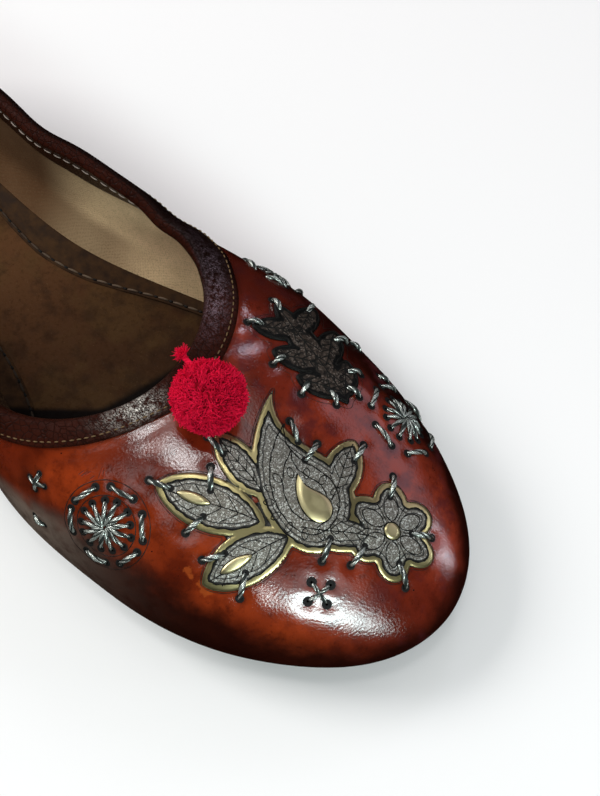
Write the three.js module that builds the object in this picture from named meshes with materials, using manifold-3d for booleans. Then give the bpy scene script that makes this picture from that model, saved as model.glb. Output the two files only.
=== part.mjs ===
// A slip-on leather flat with a round toe, a deep throat and a low collar, for the right foot.
// Millimetres. +X runs to the toe, +Y to the wearer's left, which is the medial side, +Z up.
import * as THREE from "three";
import { mergeVertices } from "three/addons/utils/BufferGeometryUtils.js";
import Module from "manifold-3d";

const wasm = await Module();
wasm.setup();

const { clamp, smoothstep, lerp } = THREE.MathUtils;

// Driving dimensions
const LENGTH = 248; // toe tip to the back of the heel
const BALL_WIDTH = 89; // across the upper at the ball of the foot
const INSTEP = 46; // top of the vamp above the floor, at the throat
const HEEL_HEIGHT = 57; // top edge of the back above the floor
const WALL = 2; // upper leather with its lining
const SOLE = 4; // outsole leather
const GAP = 0.3; // air between pieces that meet

// The ends of the outline are rounded over these lengths, by these powers (2 is an ellipse).
const TOE_RUN = 0.26 * LENGTH;
const TOE_POWER = 1.94;
const HEEL_RUN = 0.153 * LENGTH;
const HEEL_POWER = 2.2;
const TOE_CREST_RUN = 0.121 * LENGTH;
const BACK_CREST_RUN = 0.06 * LENGTH;
const CREST_POWER = 2;

// The opening: its front, its widest station, and the power of its front curve.
const THROAT = 0.3245 * LENGTH;
const MIDDLE = 0.48 * LENGTH;
const THROAT_POWER = 2.25;

// The last. at: share of the length behind the toe tip. Shares of the ball width: spine, the shift
// of the centre line to the medial side, and medial and lateral, the half widths on either side of
// it at the widest line. Shares of the instep: crest, the ridge height, which behind the throat is
// the ridge that the side walls lean towards, and girth, the height of the widest line. fullness:
// the power of the arch between them.
const LAST = [
  { at: 0.0, spine: 0.026, medial: 0.494, lateral: 0.498, crest: 0.52, girth: 0.326, fullness: 2.1 },
  { at: 0.06, spine: 0.019, medial: 0.475, lateral: 0.478, crest: 0.64, girth: 0.326, fullness: 2.12 },
  { at: 0.14, spine: 0.009, medial: 0.476, lateral: 0.482, crest: 0.796, girth: 0.324, fullness: 2.26 },
  { at: 0.24, spine: -0.001, medial: 0.488, lateral: 0.489, crest: 0.941, girth: 0.32, fullness: 2.4 },
  { at: 0.32, spine: -0.010, medial: 0.51, lateral: 0.49, crest: 1.0, girth: 0.323, fullness: 2.65 },
  { at: 0.4, spine: -0.011, medial: 0.478, lateral: 0.474, crest: 1.05, girth: 0.33, fullness: 2.75 },
  { at: 0.48, spine: 0.005, medial: 0.418, lateral: 0.43, crest: 1.19, girth: 0.345, fullness: 2.87 },
  { at: 0.58, spine: 0.023, medial: 0.357, lateral: 0.373, crest: 1.35, girth: 0.37, fullness: 3.0 },
  { at: 0.73, spine: 0.027, medial: 0.342, lateral: 0.354, crest: 1.48, girth: 0.39, fullness: 3.0 },
  { at: 0.87, spine: 0.030, medial: 0.347, lateral: 0.352, crest: 1.56, girth: 0.413, fullness: 3.0 },
  { at: 1.0, spine: 0.030, medial: 0.348, lateral: 0.348, crest: 1.61, girth: 0.435, fullness: 3.0 },
];

// The feather edge, where the upper meets the sole: half widths beside the spine, as shares of the
// ball width.
const FEATHER = [
  { at: 0.0, medial: 0.444, lateral: 0.447 },
  { at: 0.06, medial: 0.424, lateral: 0.427 },
  { at: 0.14, medial: 0.426, lateral: 0.431 },
  { at: 0.24, medial: 0.437, lateral: 0.438 },
  { at: 0.32, medial: 0.453, lateral: 0.43 },
  { at: 0.4, medial: 0.424, lateral: 0.39 },
  { at: 0.48, medial: 0.343, lateral: 0.308 },
  { at: 0.58, medial: 0.254, lateral: 0.25 },
  { at: 0.73, medial: 0.268, lateral: 0.27 },
  { at: 0.87, medial: 0.286, lateral: 0.288 },
  { at: 1.0, medial: 0.292, lateral: 0.292 },
];
const FEATHER_INSET = 4; // the feather edge starts this far inside the toe tip and the back

// Height of the top edge beside the foot, as shares of the heel height.
const TOPLINE = [
  { at: 0.0, height: 0.737 },
  { at: 0.32, height: 0.726 },
  { at: 0.4, height: 0.72 },
  { at: 0.48, height: 0.747 },
  { at: 0.58, height: 0.798 },
  { at: 0.73, height: 0.881 },
  { at: 0.87, height: 0.956 },
  { at: 1.0, height: 1.0 },
];

// The sole's underside, by distance behind the toe tip: the tread lies flat on the floor between
// its front and back, the toe springs up before it, and the shank climbs to the heel behind it.
const TREAD_FRONT = 52;
const TREAD_BACK = 102;
const HEEL_BREAST = 184;
const TOE_SPRING = 5.5;
const HEEL_PITCH = 4.7;
const SOLE_LEDGE = 0.8; // the sole stands this far outside the feather edge
const SOLE_BEVEL = 1;

const INSOLE = 2.2;
const INSOLE_RIM = 4; // height of the turned-up edge above the insole
const INSOLE_RIM_THICK = 1.2;
const INSOLE_AIR = 0.5; // between the insole's edge and the wall

const BINDING = 1; // thickness of the binding leather
const BINDING_OUTSIDE = 7; // how far it reaches down the outside
const BINDING_INSIDE = 5.5; // and down the inside

// Fineness: meridians round the shoe, rows up a meridian, and samples to space them by.
const AROUND = 84;
const FOOT_ROWS = 3;
const FOOT_ROW = 4; // distance between the rows round the foot of the wall
const MIDDLE_ROWS = 8;
const SAMPLES = 48; // points a meridian is measured by above the widest line
const FOOT_SAMPLES = 12; // and below it
const ASPECT = 0.5; // the meridians are spaced as evenly as they would be round such an ellipse
const LOWER_POWER = 1.7; // how the wall curls in below the widest line

// Natural cubic spline through one column of a table, as a function of the distance behind the toe.
function column(table, name, scale) {
  const x = table.map((row) => row.at * LENGTH);
  const y = table.map((row) => row[name] * scale);
  const last = x.length - 1;
  const bend = new Array(last + 1).fill(0);
  const carry = new Array(last + 1).fill(0);
  for (let i = 1; i < last; i++) {
    const before = x[i] - x[i - 1];
    const after = x[i + 1] - x[i];
    const turn = (y[i + 1] - y[i]) / after - (y[i] - y[i - 1]) / before;
    const pivot = 2 * (before + after) - before * carry[i - 1];
    carry[i] = after / pivot;
    bend[i] = (6 * turn - before * bend[i - 1]) / pivot;
  }
  for (let i = last - 1; i > 0; i--) bend[i] -= carry[i] * bend[i + 1];
  return (d) => {
    let i = 0;
    while (i < last - 1 && d > x[i + 1]) i++;
    const step = x[i + 1] - x[i];
    const b = clamp((d - x[i]) / step, 0, 1);
    const a = 1 - b;
    const curve = (a ** 3 - a) * bend[i] + (b ** 3 - b) * bend[i + 1];
    return a * y[i] + b * y[i + 1] + (curve * step * step) / 6;
  };
}

const spine = column(LAST, "spine", BALL_WIDTH);
const crest = column(LAST, "crest", INSTEP);
const girth = column(LAST, "girth", INSTEP);
const fullness = column(LAST, "fullness", 1);
const toplineHeight = column(TOPLINE, "height", HEEL_HEIGHT);
const MEDIAL = 1;
const LATERAL = -1;
const widest = {
  [MEDIAL]: column(LAST, "medial", BALL_WIDTH),
  [LATERAL]: column(LAST, "lateral", BALL_WIDTH),
};
const feather = {
  [MEDIAL]: column(FEATHER, "medial", BALL_WIDTH),
  [LATERAL]: column(FEATHER, "lateral", BALL_WIDTH),
};

// 1 away from an end, falling to 0 on a rounded curve as share rises to 1.
function taper(share, power) {
  return (1 - clamp(share, 0, 1) ** power) ** (1 / power);
}

// Half widths beside the spine of the three plan curves of the upper.
function girthHalf(d, side) {
  const toe = taper(1 - d / TOE_RUN, TOE_POWER);
  const back = taper(1 - (LENGTH - d) / HEEL_RUN, HEEL_POWER);
  return widest[side](d) * toe * back;
}

function featherHalf(d, side) {
  const toe = taper(1 - (d - FEATHER_INSET) / (TOE_RUN - 2), TOE_POWER);
  const back = taper(1 - (LENGTH - FEATHER_INSET - d) / (HEEL_RUN - 2), HEEL_POWER);
  return feather[side](d) * toe * back;
}

function archRise(d) {
  const toe = taper(1 - d / TOE_CREST_RUN, CREST_POWER);
  const back = taper(1 - (LENGTH - d) / BACK_CREST_RUN, CREST_POWER);
  return (crest(d) - girth(d)) * toe * back;
}

function collarHalf(d, side) {
  const n = fullness(d);
  const share = clamp((toplineHeight(d) - girth(d)) / Math.max(archRise(d), GAP), 0, 1);
  const front = taper((MIDDLE - d) / (MIDDLE - THROAT), THROAT_POWER);
  return girthHalf(d, side) * (1 - share ** n) ** (1 / n) * front;
}

// Height of the upper's outer face above a place beside the spine.
function heightAt(d, beside, side) {
  const n = fullness(d);
  const share = clamp(Math.abs(beside) / Math.max(girthHalf(d, side), GAP), 0, 1);
  return girth(d) + archRise(d) * (1 - share ** n) ** (1 / n);
}

function underside(d) {
  const toe = TOE_SPRING * Math.max(0, 1 - d / TREAD_FRONT) ** 2;
  return toe + HEEL_PITCH * smoothstep(d, TREAD_BACK, HEEL_BREAST);
}

// Halves an interval until it closes on the place where a rising test turns true.
function halve(low, high, isPast) {
  for (let i = 0; i < 36; i++) {
    const middle = (low + high) / 2;
    if (isPast(middle)) high = middle;
    else low = middle;
  }
  return (low + high) / 2;
}

const COLLAR_BACK = halve(
  0.8 * LENGTH,
  LENGTH,
  (d) => archRise(d) < toplineHeight(d) - girth(d),
);

// Where a ray from the middle of the opening crosses a plan curve. angle: 0 ahead, pi behind.
function onRay(half, front, back, angle, side) {
  const isAhead = angle < Math.PI / 2;
  const isPast = (d) => half(d, side) * Math.cos(angle) > (MIDDLE - d) * Math.sin(angle);
  const d = isAhead ? halve(front, MIDDLE, isPast) : halve(MIDDLE, back, isPast);
  return { d, beside: half(d, side) };
}

function place(d, beside, side, z) {
  return new THREE.Vector3(LENGTH / 2 - d, spine(d) + side * beside, z);
}

// One meridian of the upper's outer face, from the feather edge up to the topline. turn: 0 at the
// toe, by the medial side to 0.5 at the back, and by the lateral side to 1 at the toe again.
const meridians = new Map();
function meridian(turn) {
  const key = Math.round((turn - Math.floor(turn)) * 1e6) / 1e6;
  if (meridians.has(key)) return meridians.get(key);
  const side = key <= 0.5 ? MEDIAL : LATERAL;
  const u = key <= 0.5 ? 2 * key : 2 - 2 * key;
  const angle = Math.atan2(ASPECT * Math.sin(Math.PI * u), Math.cos(Math.PI * u));
  const low = onRay(featherHalf, FEATHER_INSET, LENGTH - FEATHER_INSET, angle, side);
  const wide = onRay(girthHalf, 0, LENGTH, angle, side);
  const high = onRay(collarHalf, THROAT, COLLAR_BACK, angle, side);
  const foot = underside(wide.d) + SOLE + GAP;
  const points = [];
  for (let i = FOOT_SAMPLES; i > 0; i--) {
    const drop = i / FOOT_SAMPLES;
    const inwards = drop ** LOWER_POWER;
    const d = lerp(wide.d, low.d, inwards);
    const beside = lerp(wide.beside, low.beside, inwards);
    points.push(place(d, beside, side, lerp(girth(wide.d), foot, drop)));
  }
  for (let i = 0; i <= SAMPLES; i++) {
    const inwards = (i / SAMPLES) ** 3;
    const d = lerp(wide.d, high.d, inwards);
    const beside = lerp(wide.beside, high.beside, inwards);
    points.push(place(d, beside, side, heightAt(d, beside, side)));
  }
  const reach = [0];
  for (let i = 1; i < points.length; i++) {
    reach.push(reach[i - 1] + points[i].distanceTo(points[i - 1]));
  }
  const made = { points, reach, length: reach[reach.length - 1] };
  meridians.set(key, made);
  return made;
}

// A point of the outer face, share of the way up its meridian.
function face(turn, share) {
  const { points, reach, length } = meridian(turn);
  const wanted = clamp(share, 0, 1) * length;
  let i = 1;
  while (i < reach.length - 1 && reach[i] < wanted) i++;
  const part = (wanted - reach[i - 1]) / (reach[i] - reach[i - 1]);
  return points[i - 1].clone().lerp(points[i], part);
}

function upwards(turn, share) {
  const step = 0.01;
  return face(turn, share + step).sub(face(turn, share - step)).normalize();
}

function outwards(turn, share) {
  const step = 0.003;
  const along = face(turn + step, share).sub(face(turn - step, share));
  return along.cross(upwards(turn, share)).normalize();
}

// The outer face moved out by an offset, which is negative for a form inside it.
function skin(turn, share, offset) {
  return face(turn, share).addScaledVector(outwards(turn, share), offset);
}

// The same form by distance down from the topline; a negative distance runs on past it.
function fromTop(turn, distance, offset) {
  if (distance >= 0) return skin(turn, 1 - distance / meridian(turn).length, offset);
  return skin(turn, 1, offset).addScaledVector(upwards(turn, 1), -distance);
}

// A point of the lower wall at a height above the floor, run on below the feather edge where the
// height is lower than that.
function wallAt(turn, height, offset) {
  const foot = skin(turn, 0, offset);
  const slope = upwards(turn, 0);
  if (foot.z >= height) return foot.addScaledVector(slope, (height - foot.z) / slope.z);
  const share = halve(0, 0.6, (s) => skin(turn, s, offset).z > height);
  return skin(turn, share, offset);
}

// Turns of the meridians that the pieces are built on.
const TURNS = Array.from({ length: AROUND }, (_, i) => i / AROUND);

// A closed mesh from its points and faces, turned to face out.
function closedMesh(points, faces) {
  const volume = faces.reduce((sum, [a, b, c]) => {
    return sum + points[a].dot(points[b].clone().cross(points[c]));
  }, 0);
  const facing = volume > 0 ? faces : faces.map(([a, b, c]) => [a, c, b]);
  const geometry = new THREE.BufferGeometry().setFromPoints(points);
  geometry.setIndex(facing.flat());
  geometry.computeVertexNormals();
  return geometry;
}

function wallBetween(faces, lower, upper, count) {
  for (let i = 0; i < count; i++) {
    const next = (i + 1) % count;
    faces.push([lower + i, lower + next, upper + next]);
    faces.push([lower + i, upper + next, upper + i]);
  }
}

// A ring round the shoe: one closed section per turn, joined to the next and round to the first.
function ring(sections) {
  const size = sections[0].length;
  const faces = [];
  sections.forEach((_, i) => {
    wallBetween(faces, i * size, ((i + 1) % sections.length) * size, size);
  });
  return closedMesh(sections.flat(), faces);
}

// A plate: outlines one above another, closed below and above by rungs from side to side.
function plate(outlines) {
  const count = outlines[0].length;
  const faces = [];
  for (let k = 0; k + 1 < outlines.length; k++) {
    wallBetween(faces, k * count, (k + 1) * count, count);
  }
  const top = (outlines.length - 1) * count;
  for (let i = 0; i < count / 2; i++) {
    const left = [i, i + 1];
    const right = [(count - i) % count, count - i - 1];
    for (const [start, isTop] of [[0, false], [top, true]]) {
      const quad = [left[0], left[1], right[1], right[0]].map((n) => n + start);
      const rungs = [[quad[0], quad[1], quad[2]], [quad[0], quad[2], quad[3]]];
      for (const [a, b, c] of rungs) {
        if (a === b || b === c || a === c) continue;
        faces.push(isTop ? [a, b, c] : [a, c, b]);
      }
    }
  }
  return closedMesh(outlines.flat(), faces);
}

// Shares of the way up a meridian: close rows round the foot of the wall, even ones over the middle,
// and two that the binding's own rows follow.
function rowShares(turn) {
  const { length } = meridian(turn);
  const low = FOOT_ROWS * FOOT_ROW;
  const high = length - BINDING_OUTSIDE;
  const reaches = [];
  for (let i = 0; i < FOOT_ROWS; i++) reaches.push(i * FOOT_ROW);
  for (let i = 0; i <= MIDDLE_ROWS; i++) reaches.push(lerp(low, high, i / MIDDLE_ROWS));
  reaches.push(length - BINDING_OUTSIDE / 2, length);
  return reaches.map((reach) => reach / length);
}

// The upper: outer face up, inner face down, closed at the topline and at the feather edge.
function makeUpper() {
  const sections = TURNS.map((turn) => {
    const shares = rowShares(turn);
    const outer = shares.map((share) => skin(turn, share, 0));
    const inner = shares.map((share) => skin(turn, share, -WALL));
    inner[0] = wallAt(turn, outer[0].z, -WALL);
    return [...inner, ...outer.reverse()];
  });
  return ring(sections);
}

// The binding, folded over the topline. Each row is a corner of its section: how far down from the
// topline, and how far out from the upper's outer face.
function makeBinding() {
  const outside = GAP + BINDING;
  const inside = -WALL - GAP - BINDING;
  const section = [
    { down: BINDING_OUTSIDE, out: GAP },
    { down: BINDING_OUTSIDE, out: outside },
    { down: BINDING_OUTSIDE / 2, out: outside },
    { down: 0, out: outside },
    { down: -outside, out: -0.2 * WALL },
    { down: -outside, out: -0.8 * WALL },
    { down: 0, out: inside },
    { down: BINDING_INSIDE, out: inside },
    { down: BINDING_INSIDE, out: -WALL - GAP },
    { down: -GAP, out: -WALL - GAP },
    { down: -GAP, out: GAP },
    { down: BINDING_OUTSIDE / 2, out: GAP },
  ];
  const sections = TURNS.map((turn) => section.map(({ down, out }) => fromTop(turn, down, out)));
  return ring(sections);
}

// An outline of the sole, inset from its edge, at a height above its underside.
function soleOutline(inset, height) {
  return TURNS.map((turn) => {
    const foot = face(turn, 0);
    const outward = outwards(turn, 0).setZ(0).normalize();
    const point = foot.addScaledVector(outward, SOLE_LEDGE - inset);
    point.z = underside(LENGTH / 2 - point.x) + height;
    return point;
  });
}

function makeOutsole() {
  return plate([
    soleOutline(SOLE_BEVEL, 0),
    soleOutline(0, SOLE_BEVEL),
    soleOutline(0, SOLE),
  ]);
}

// The heel lift: the sole's outline behind the breast, which is a shallow arc.
const HEEL_LIFT_INSET = 0.6;
const BREAST_HOLLOW = 3;

function makeHeelLift() {
  const behind = soleOutline(HEEL_LIFT_INSET, 0).filter((p) => LENGTH / 2 - p.x > HEEL_BREAST + 1);
  const shape = new THREE.Shape(behind.map((p) => new THREE.Vector2(p.x, p.y)));
  const start = behind[0];
  const end = behind[behind.length - 1];
  const hollow = new THREE.Vector2(end.x - 2 * BREAST_HOLLOW, (start.y + end.y) / 2);
  shape.quadraticCurveTo(hollow.x, hollow.y, start.x, start.y);
  return new THREE.ExtrudeGeometry(shape, {
    depth: HEEL_PITCH - GAP,
    bevelEnabled: false,
    curveSegments: 8,
  });
}

// The insole: a plate whose edge turns up against the foot of the wall.
function makeInsole() {
  const clear = -WALL - INSOLE_AIR;
  const floor = (turn) => face(turn, 0).z;
  const rimTop = INSOLE + INSOLE_RIM;
  const bottom = TURNS.map((turn) => wallAt(turn, floor(turn), clear - GAP));
  const shoulder = TURNS.map((turn) => wallAt(turn, floor(turn) + INSOLE, clear));
  const rimOuter = TURNS.map((turn) => wallAt(turn, floor(turn) + rimTop, clear));
  const rimInner = TURNS.map((turn) => {
    return wallAt(turn, floor(turn) + rimTop, clear - INSOLE_RIM_THICK);
  });
  const rimFoot = TURNS.map((turn) => {
    return wallAt(turn, floor(turn) + INSOLE, clear - INSOLE_RIM_THICK);
  });
  return plate([bottom, shoulder, rimOuter, rimInner, rimFoot]);
}

// Solids for cutting and joining.
function solid(geometry) {
  const bare = new THREE.BufferGeometry();
  bare.setAttribute("position", geometry.getAttribute("position"));
  if (geometry.index) bare.setIndex(geometry.index);
  const merged = mergeVertices(bare, 1e-4);
  return new wasm.Manifold(
    new wasm.Mesh({
      numProp: 3,
      vertProperties: merged.attributes.position.array,
      triVerts: new Uint32Array(merged.index.array),
    }),
  );
}

function geometryOf(manifold) {
  const { vertProperties, triVerts } = manifold.getMesh();
  const geometry = new THREE.BufferGeometry();
  geometry.setAttribute("position", new THREE.BufferAttribute(vertProperties, 3));
  geometry.setIndex(new THREE.BufferAttribute(triVerts, 1));
  geometry.computeVertexNormals();
  return geometry;
}

// The vamp by plan position: d behind the toe tip, y to the medial side of the row's X axis.
function vampFace(d, y) {
  const beside = y - spine(d);
  const side = beside >= 0 ? MEDIAL : LATERAL;
  return new THREE.Vector3(LENGTH / 2 - d, y, heightAt(d, beside, side));
}

function vampSkin(d, y, offset) {
  const step = 0.4;
  const forward = vampFace(d - step, y).sub(vampFace(d + step, y));
  const across = vampFace(d, y + step).sub(vampFace(d, y - step));
  return vampFace(d, y).addScaledVector(forward.cross(across).normalize(), offset);
}

// Outlines of the appliqué motifs about their own centre, each as a closed list of points.
const OUTLINE_STEPS = 18;

function round(steps, pointAt) {
  return Array.from({ length: steps }, (_, i) => pointAt((2 * Math.PI * i) / steps));
}

// A leaf, pointed at both ends.
function leaf(length, width) {
  return round(OUTLINE_STEPS, (u) => {
    const side = Math.sin(u);
    return new THREE.Vector2(0.5 * length * Math.cos(u), 0.5 * width * side * Math.abs(side) ** 0.4);
  });
}

// A mango drop whose pointed end curls round.
function mango(length, width, curl) {
  return round(OUTLINE_STEPS + 8, (u) => {
    const along = 0.5 * length * Math.cos(u);
    const across = 0.5 * width * Math.sin(u) * Math.sin(u / 2) ** 1.3 * 1.25;
    const turn = curl * ((along + 0.5 * length) / length) ** 2;
    return new THREE.Vector2(along, across).rotateAround(new THREE.Vector2(-0.5 * length, 0), turn);
  });
}

function flower(radius, petals) {
  return round(petals * 6, (u) => {
    const reach = radius * (0.74 + 0.26 * Math.abs(Math.cos((petals * u) / 2)));
    return new THREE.Vector2(reach * Math.cos(u), reach * Math.sin(u));
  });
}

// An upright prism on a motif, set at d behind the toe and y to the medial side, and turned.
function prism(outline, { d, y, turn }) {
  const placed = outline.map((p) => {
    const turned = p.clone().rotateAround(new THREE.Vector2(), turn);
    return new THREE.Vector2(LENGTH / 2 - d + turned.x, y + turned.y);
  });
  const shape = new THREE.Shape(placed);
  return solid(new THREE.ExtrudeGeometry(shape, { depth: 2 * INSTEP, bevelEnabled: false }));
}

// A patch: the motifs' prisms, joined, cut between two larger forms of the vamp.
const PATCH = 0.8;
const PATCH_CELL = 5;

function makePatch(motifs, { front, back, lateral, medial }) {
  const rows = Math.ceil((back - front) / PATCH_CELL);
  const columns = Math.ceil((medial - lateral) / PATCH_CELL);
  const layers = [GAP, GAP + PATCH].map((offset) => {
    const points = [];
    for (let i = 0; i <= rows; i++) {
      for (let j = 0; j <= columns; j++) {
        const d = lerp(front, back, i / rows);
        const y = lerp(lateral, medial, j / columns);
        points.push(vampSkin(d, y, offset));
      }
    }
    return points;
  });
  const count = layers[0].length;
  const wide = columns + 1;
  const faces = [];
  for (let i = 0; i < rows; i++) {
    for (let j = 0; j < columns; j++) {
      const corners = [i * wide + j, (i + 1) * wide + j, (i + 1) * wide + j + 1, i * wide + j + 1];
      const [a, b, c, e] = corners;
      faces.push([a, b, c], [a, c, e]);
      faces.push([count + a, count + c, count + b], [count + a, count + e, count + c]);
    }
  }
  const edge = [];
  for (let j = 0; j < columns; j++) edge.push(j);
  for (let i = 0; i < rows; i++) edge.push(i * wide + columns);
  for (let j = columns; j > 0; j--) edge.push(rows * wide + j);
  for (let i = rows; i > 0; i--) edge.push(i * wide);
  edge.forEach((a, i) => {
    const b = edge[(i + 1) % edge.length];
    faces.push([a, b, count + b], [a, count + b, count + a]);
  });
  const sheet = solid(closedMesh(layers.flat(), faces));
  const outline = motifs.reduce((all, one) => all.add(one));
  return geometryOf(sheet.intersect(outline));
}

// The gold appliqué: a mango drop, a flower towards the toe and leaves round the drop.
function makeGoldPatch() {
  const motifs = [
    prism(mango(35, 24, -0.7), { d: 44.5, y: -5.3, turn: 1.12 * Math.PI }),
    prism(flower(11, 6), { d: 21, y: 6.2, turn: 0.2 }),
    prism(leaf(26, 12), { d: 54.5, y: -17.8, turn: 1.12 * Math.PI }),
    prism(leaf(23, 11), { d: 41, y: -20.8, turn: 1.37 * Math.PI }),
    prism(leaf(17, 9), { d: 37.5, y: 8.2, turn: 0.6 * Math.PI }),
    prism(leaf(20, 9), { d: 29.5, y: -2.8, turn: 0.2 * Math.PI }),
    prism(leaf(18, 8.5), { d: 55, y: -6.8, turn: 0.94 * Math.PI }),
  ];
  return makePatch(motifs, { front: 7, back: 70, lateral: -34, medial: 22 });
}

// The dark appliqué: a sprig of leaves on the medial side of the vamp.
function makeDarkPatch() {
  const motifs = [
    prism(leaf(31, 8), { d: 62, y: 26.7, turn: -0.28 }),
    prism(leaf(13, 6.5), { d: 71, y: 25.7, turn: 0.7 }),
    prism(leaf(13, 6.5), { d: 69, y: 32.7, turn: -1.25 }),
    prism(leaf(13, 7), { d: 62.5, y: 22.7, turn: 0.5 }),
    prism(leaf(14, 7), { d: 60, y: 31.2, turn: -1.1 }),
    prism(leaf(12, 6.5), { d: 54.5, y: 21.2, turn: 0.45 }),
    prism(leaf(12, 6.5), { d: 52, y: 27.2, turn: -0.95 }),
  ];
  return makePatch(motifs, { front: 43, back: 80, lateral: 14, medial: 40 });
}

// The pompom: a wool ball with its cut locks, and the short tail of the yarn that ties it.
const POMPOM_RADIUS = 9;
const POMPOM_PLACE = { d: 68.6, y: -2.5 };
const LOCKS = 32;
const LOCK_WIDTH = 1.7;
const LOCK_LENGTH = 2.4;
const LOCK_REACH = 0.7; // how far the locks stand out of the ball
const TAIL_RADIUS = 0.9;

function makePompom() {
  const { d, y } = POMPOM_PLACE;
  const centre = vampSkin(d, y, POMPOM_RADIUS + GAP + LOCK_REACH);
  const core = new THREE.IcosahedronGeometry(POMPOM_RADIUS, 3).translate(centre.x, centre.y, centre.z);
  let ball = solid(core);
  const up = new THREE.Vector3(0, 1, 0);
  const golden = Math.PI * (3 - Math.sqrt(5));
  for (let i = 0; i < LOCKS; i++) {
    const z = 1 - (2 * (i + 0.5)) / LOCKS;
    const radius = Math.sqrt(1 - z * z);
    const away = new THREE.Vector3(radius * Math.cos(golden * i), radius * Math.sin(golden * i), z);
    const lock = new THREE.CylinderGeometry(0.6 * LOCK_WIDTH, LOCK_WIDTH, LOCK_LENGTH, 5);
    lock.applyQuaternion(new THREE.Quaternion().setFromUnitVectors(up, away));
    const reach = POMPOM_RADIUS + LOCK_REACH - LOCK_LENGTH / 2;
    lock.translate(centre.x + away.x * reach, centre.y + away.y * reach, centre.z + away.z * reach);
    ball = ball.add(solid(lock));
  }
  const route = new THREE.CatmullRomCurve3([
    centre.clone().add(new THREE.Vector3(-5, 3, 0)),
    centre.clone().add(new THREE.Vector3(-10.5, 4.4, -2.4)),
    centre.clone().add(new THREE.Vector3(-14, 4.6, -2)),
  ]);
  const profile = new THREE.Shape().absarc(0, 0, TAIL_RADIUS, 0, 2 * Math.PI);
  const tail = new THREE.ExtrudeGeometry(profile, { steps: 5, curveSegments: 6, extrudePath: route });
  return geometryOf(ball.add(solid(tail)));
}

const flat = new THREE.Group();
const finishes = {
  tan: { color: 0x8a3a16, roughness: 0.25, metalness: 0 },
  brown: { color: 0x3b1a14, roughness: 0.5, metalness: 0 },
  sole: { color: 0xa9764a, roughness: 0.7, metalness: 0 },
  sock: { color: 0x3a2517, roughness: 0.85, metalness: 0 },
  gold: { color: 0xb79a4a, roughness: 0.3, metalness: 0.8 },
  dark: { color: 0x1e1614, roughness: 0.5, metalness: 0.2 },
  red: { color: 0xb0081e, roughness: 0.95, metalness: 0 },
};
const pieces = [
  { name: "upper", shape: makeUpper(), finish: "tan" },
  { name: "topline_binding", shape: makeBinding(), finish: "brown" },
  { name: "outsole", shape: makeOutsole(), finish: "sole" },
  { name: "heel_lift", shape: makeHeelLift(), finish: "sole" },
  { name: "insole", shape: makeInsole(), finish: "sock" },
  { name: "patch_gold", shape: makeGoldPatch(), finish: "gold" },
  { name: "patch_dark", shape: makeDarkPatch(), finish: "dark" },
  { name: "pompom", shape: makePompom(), finish: "red" },
];
for (const { name, shape, finish } of pieces) {
  const mesh = new THREE.Mesh(shape, new THREE.MeshStandardMaterial(finishes[finish]));
  mesh.name = name;
  flat.add(mesh);
}

export default flat;
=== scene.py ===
"""A right-foot slip-on leather flat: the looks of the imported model, in metres, toe to +X, medial side to +Y.

The form of the last is the same short tables and formulas that the solids were made from, in millimetres,
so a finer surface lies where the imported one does. Plan places on the shoe are (d, y): d behind the toe tip,
y to the medial side.
"""
import math

import bpy
import numpy as np
from mathutils import Matrix, Vector


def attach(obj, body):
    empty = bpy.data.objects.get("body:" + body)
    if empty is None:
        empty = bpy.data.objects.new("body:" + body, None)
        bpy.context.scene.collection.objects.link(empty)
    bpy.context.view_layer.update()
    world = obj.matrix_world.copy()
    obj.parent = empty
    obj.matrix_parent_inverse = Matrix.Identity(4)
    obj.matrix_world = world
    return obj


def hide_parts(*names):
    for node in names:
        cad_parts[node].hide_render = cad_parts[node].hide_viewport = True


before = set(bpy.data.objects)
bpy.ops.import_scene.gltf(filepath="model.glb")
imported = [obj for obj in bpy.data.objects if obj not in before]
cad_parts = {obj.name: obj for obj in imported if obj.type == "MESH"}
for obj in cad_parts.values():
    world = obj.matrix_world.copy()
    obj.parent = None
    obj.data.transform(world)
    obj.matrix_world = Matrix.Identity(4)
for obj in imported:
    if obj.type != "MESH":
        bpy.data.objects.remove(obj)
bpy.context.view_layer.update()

MM = 0.001
PI = math.pi
rng = np.random.default_rng(7)

# ---------------------------------------------------------------------------------------------------------
# Form of the last
# ---------------------------------------------------------------------------------------------------------
LENGTH = 248.0
BALL_WIDTH = 89.0
INSTEP = 46.0
HEEL_HEIGHT = 57.0
WALL = 2.0
SOLE = 4.0
GAP = 0.3

TOE_RUN = 0.26 * LENGTH
TOE_POWER = 1.94
HEEL_RUN = 0.153 * LENGTH
HEEL_POWER = 2.2
TOE_CREST_RUN = 0.121 * LENGTH
BACK_CREST_RUN = 0.06 * LENGTH
THROAT = 0.3245 * LENGTH
MIDDLE = 0.48 * LENGTH
THROAT_POWER = 2.25

# Stations by share of the length. Spine, medial and lateral are shares of the ball width, crest and girth of
# the instep.
LAST = {
    "at": (0.0, 0.06, 0.14, 0.24, 0.32, 0.4, 0.48, 0.58, 0.73, 0.87, 1.0),
    "spine": (0.026, 0.019, 0.009, -0.001, -0.010, -0.011, 0.005, 0.023, 0.027, 0.030, 0.030),
    "medial": (0.494, 0.475, 0.476, 0.488, 0.51, 0.478, 0.418, 0.357, 0.342, 0.347, 0.348),
    "lateral": (0.498, 0.478, 0.482, 0.489, 0.49, 0.474, 0.43, 0.373, 0.354, 0.352, 0.348),
    "crest": (0.52, 0.64, 0.796, 0.941, 1.0, 1.05, 1.19, 1.35, 1.48, 1.56, 1.61),
    "girth": (0.326, 0.326, 0.324, 0.32, 0.323, 0.33, 0.345, 0.37, 0.39, 0.413, 0.435),
    "fullness": (2.1, 2.12, 2.26, 2.4, 2.65, 2.75, 2.87, 3.0, 3.0, 3.0, 3.0),
}
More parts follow.
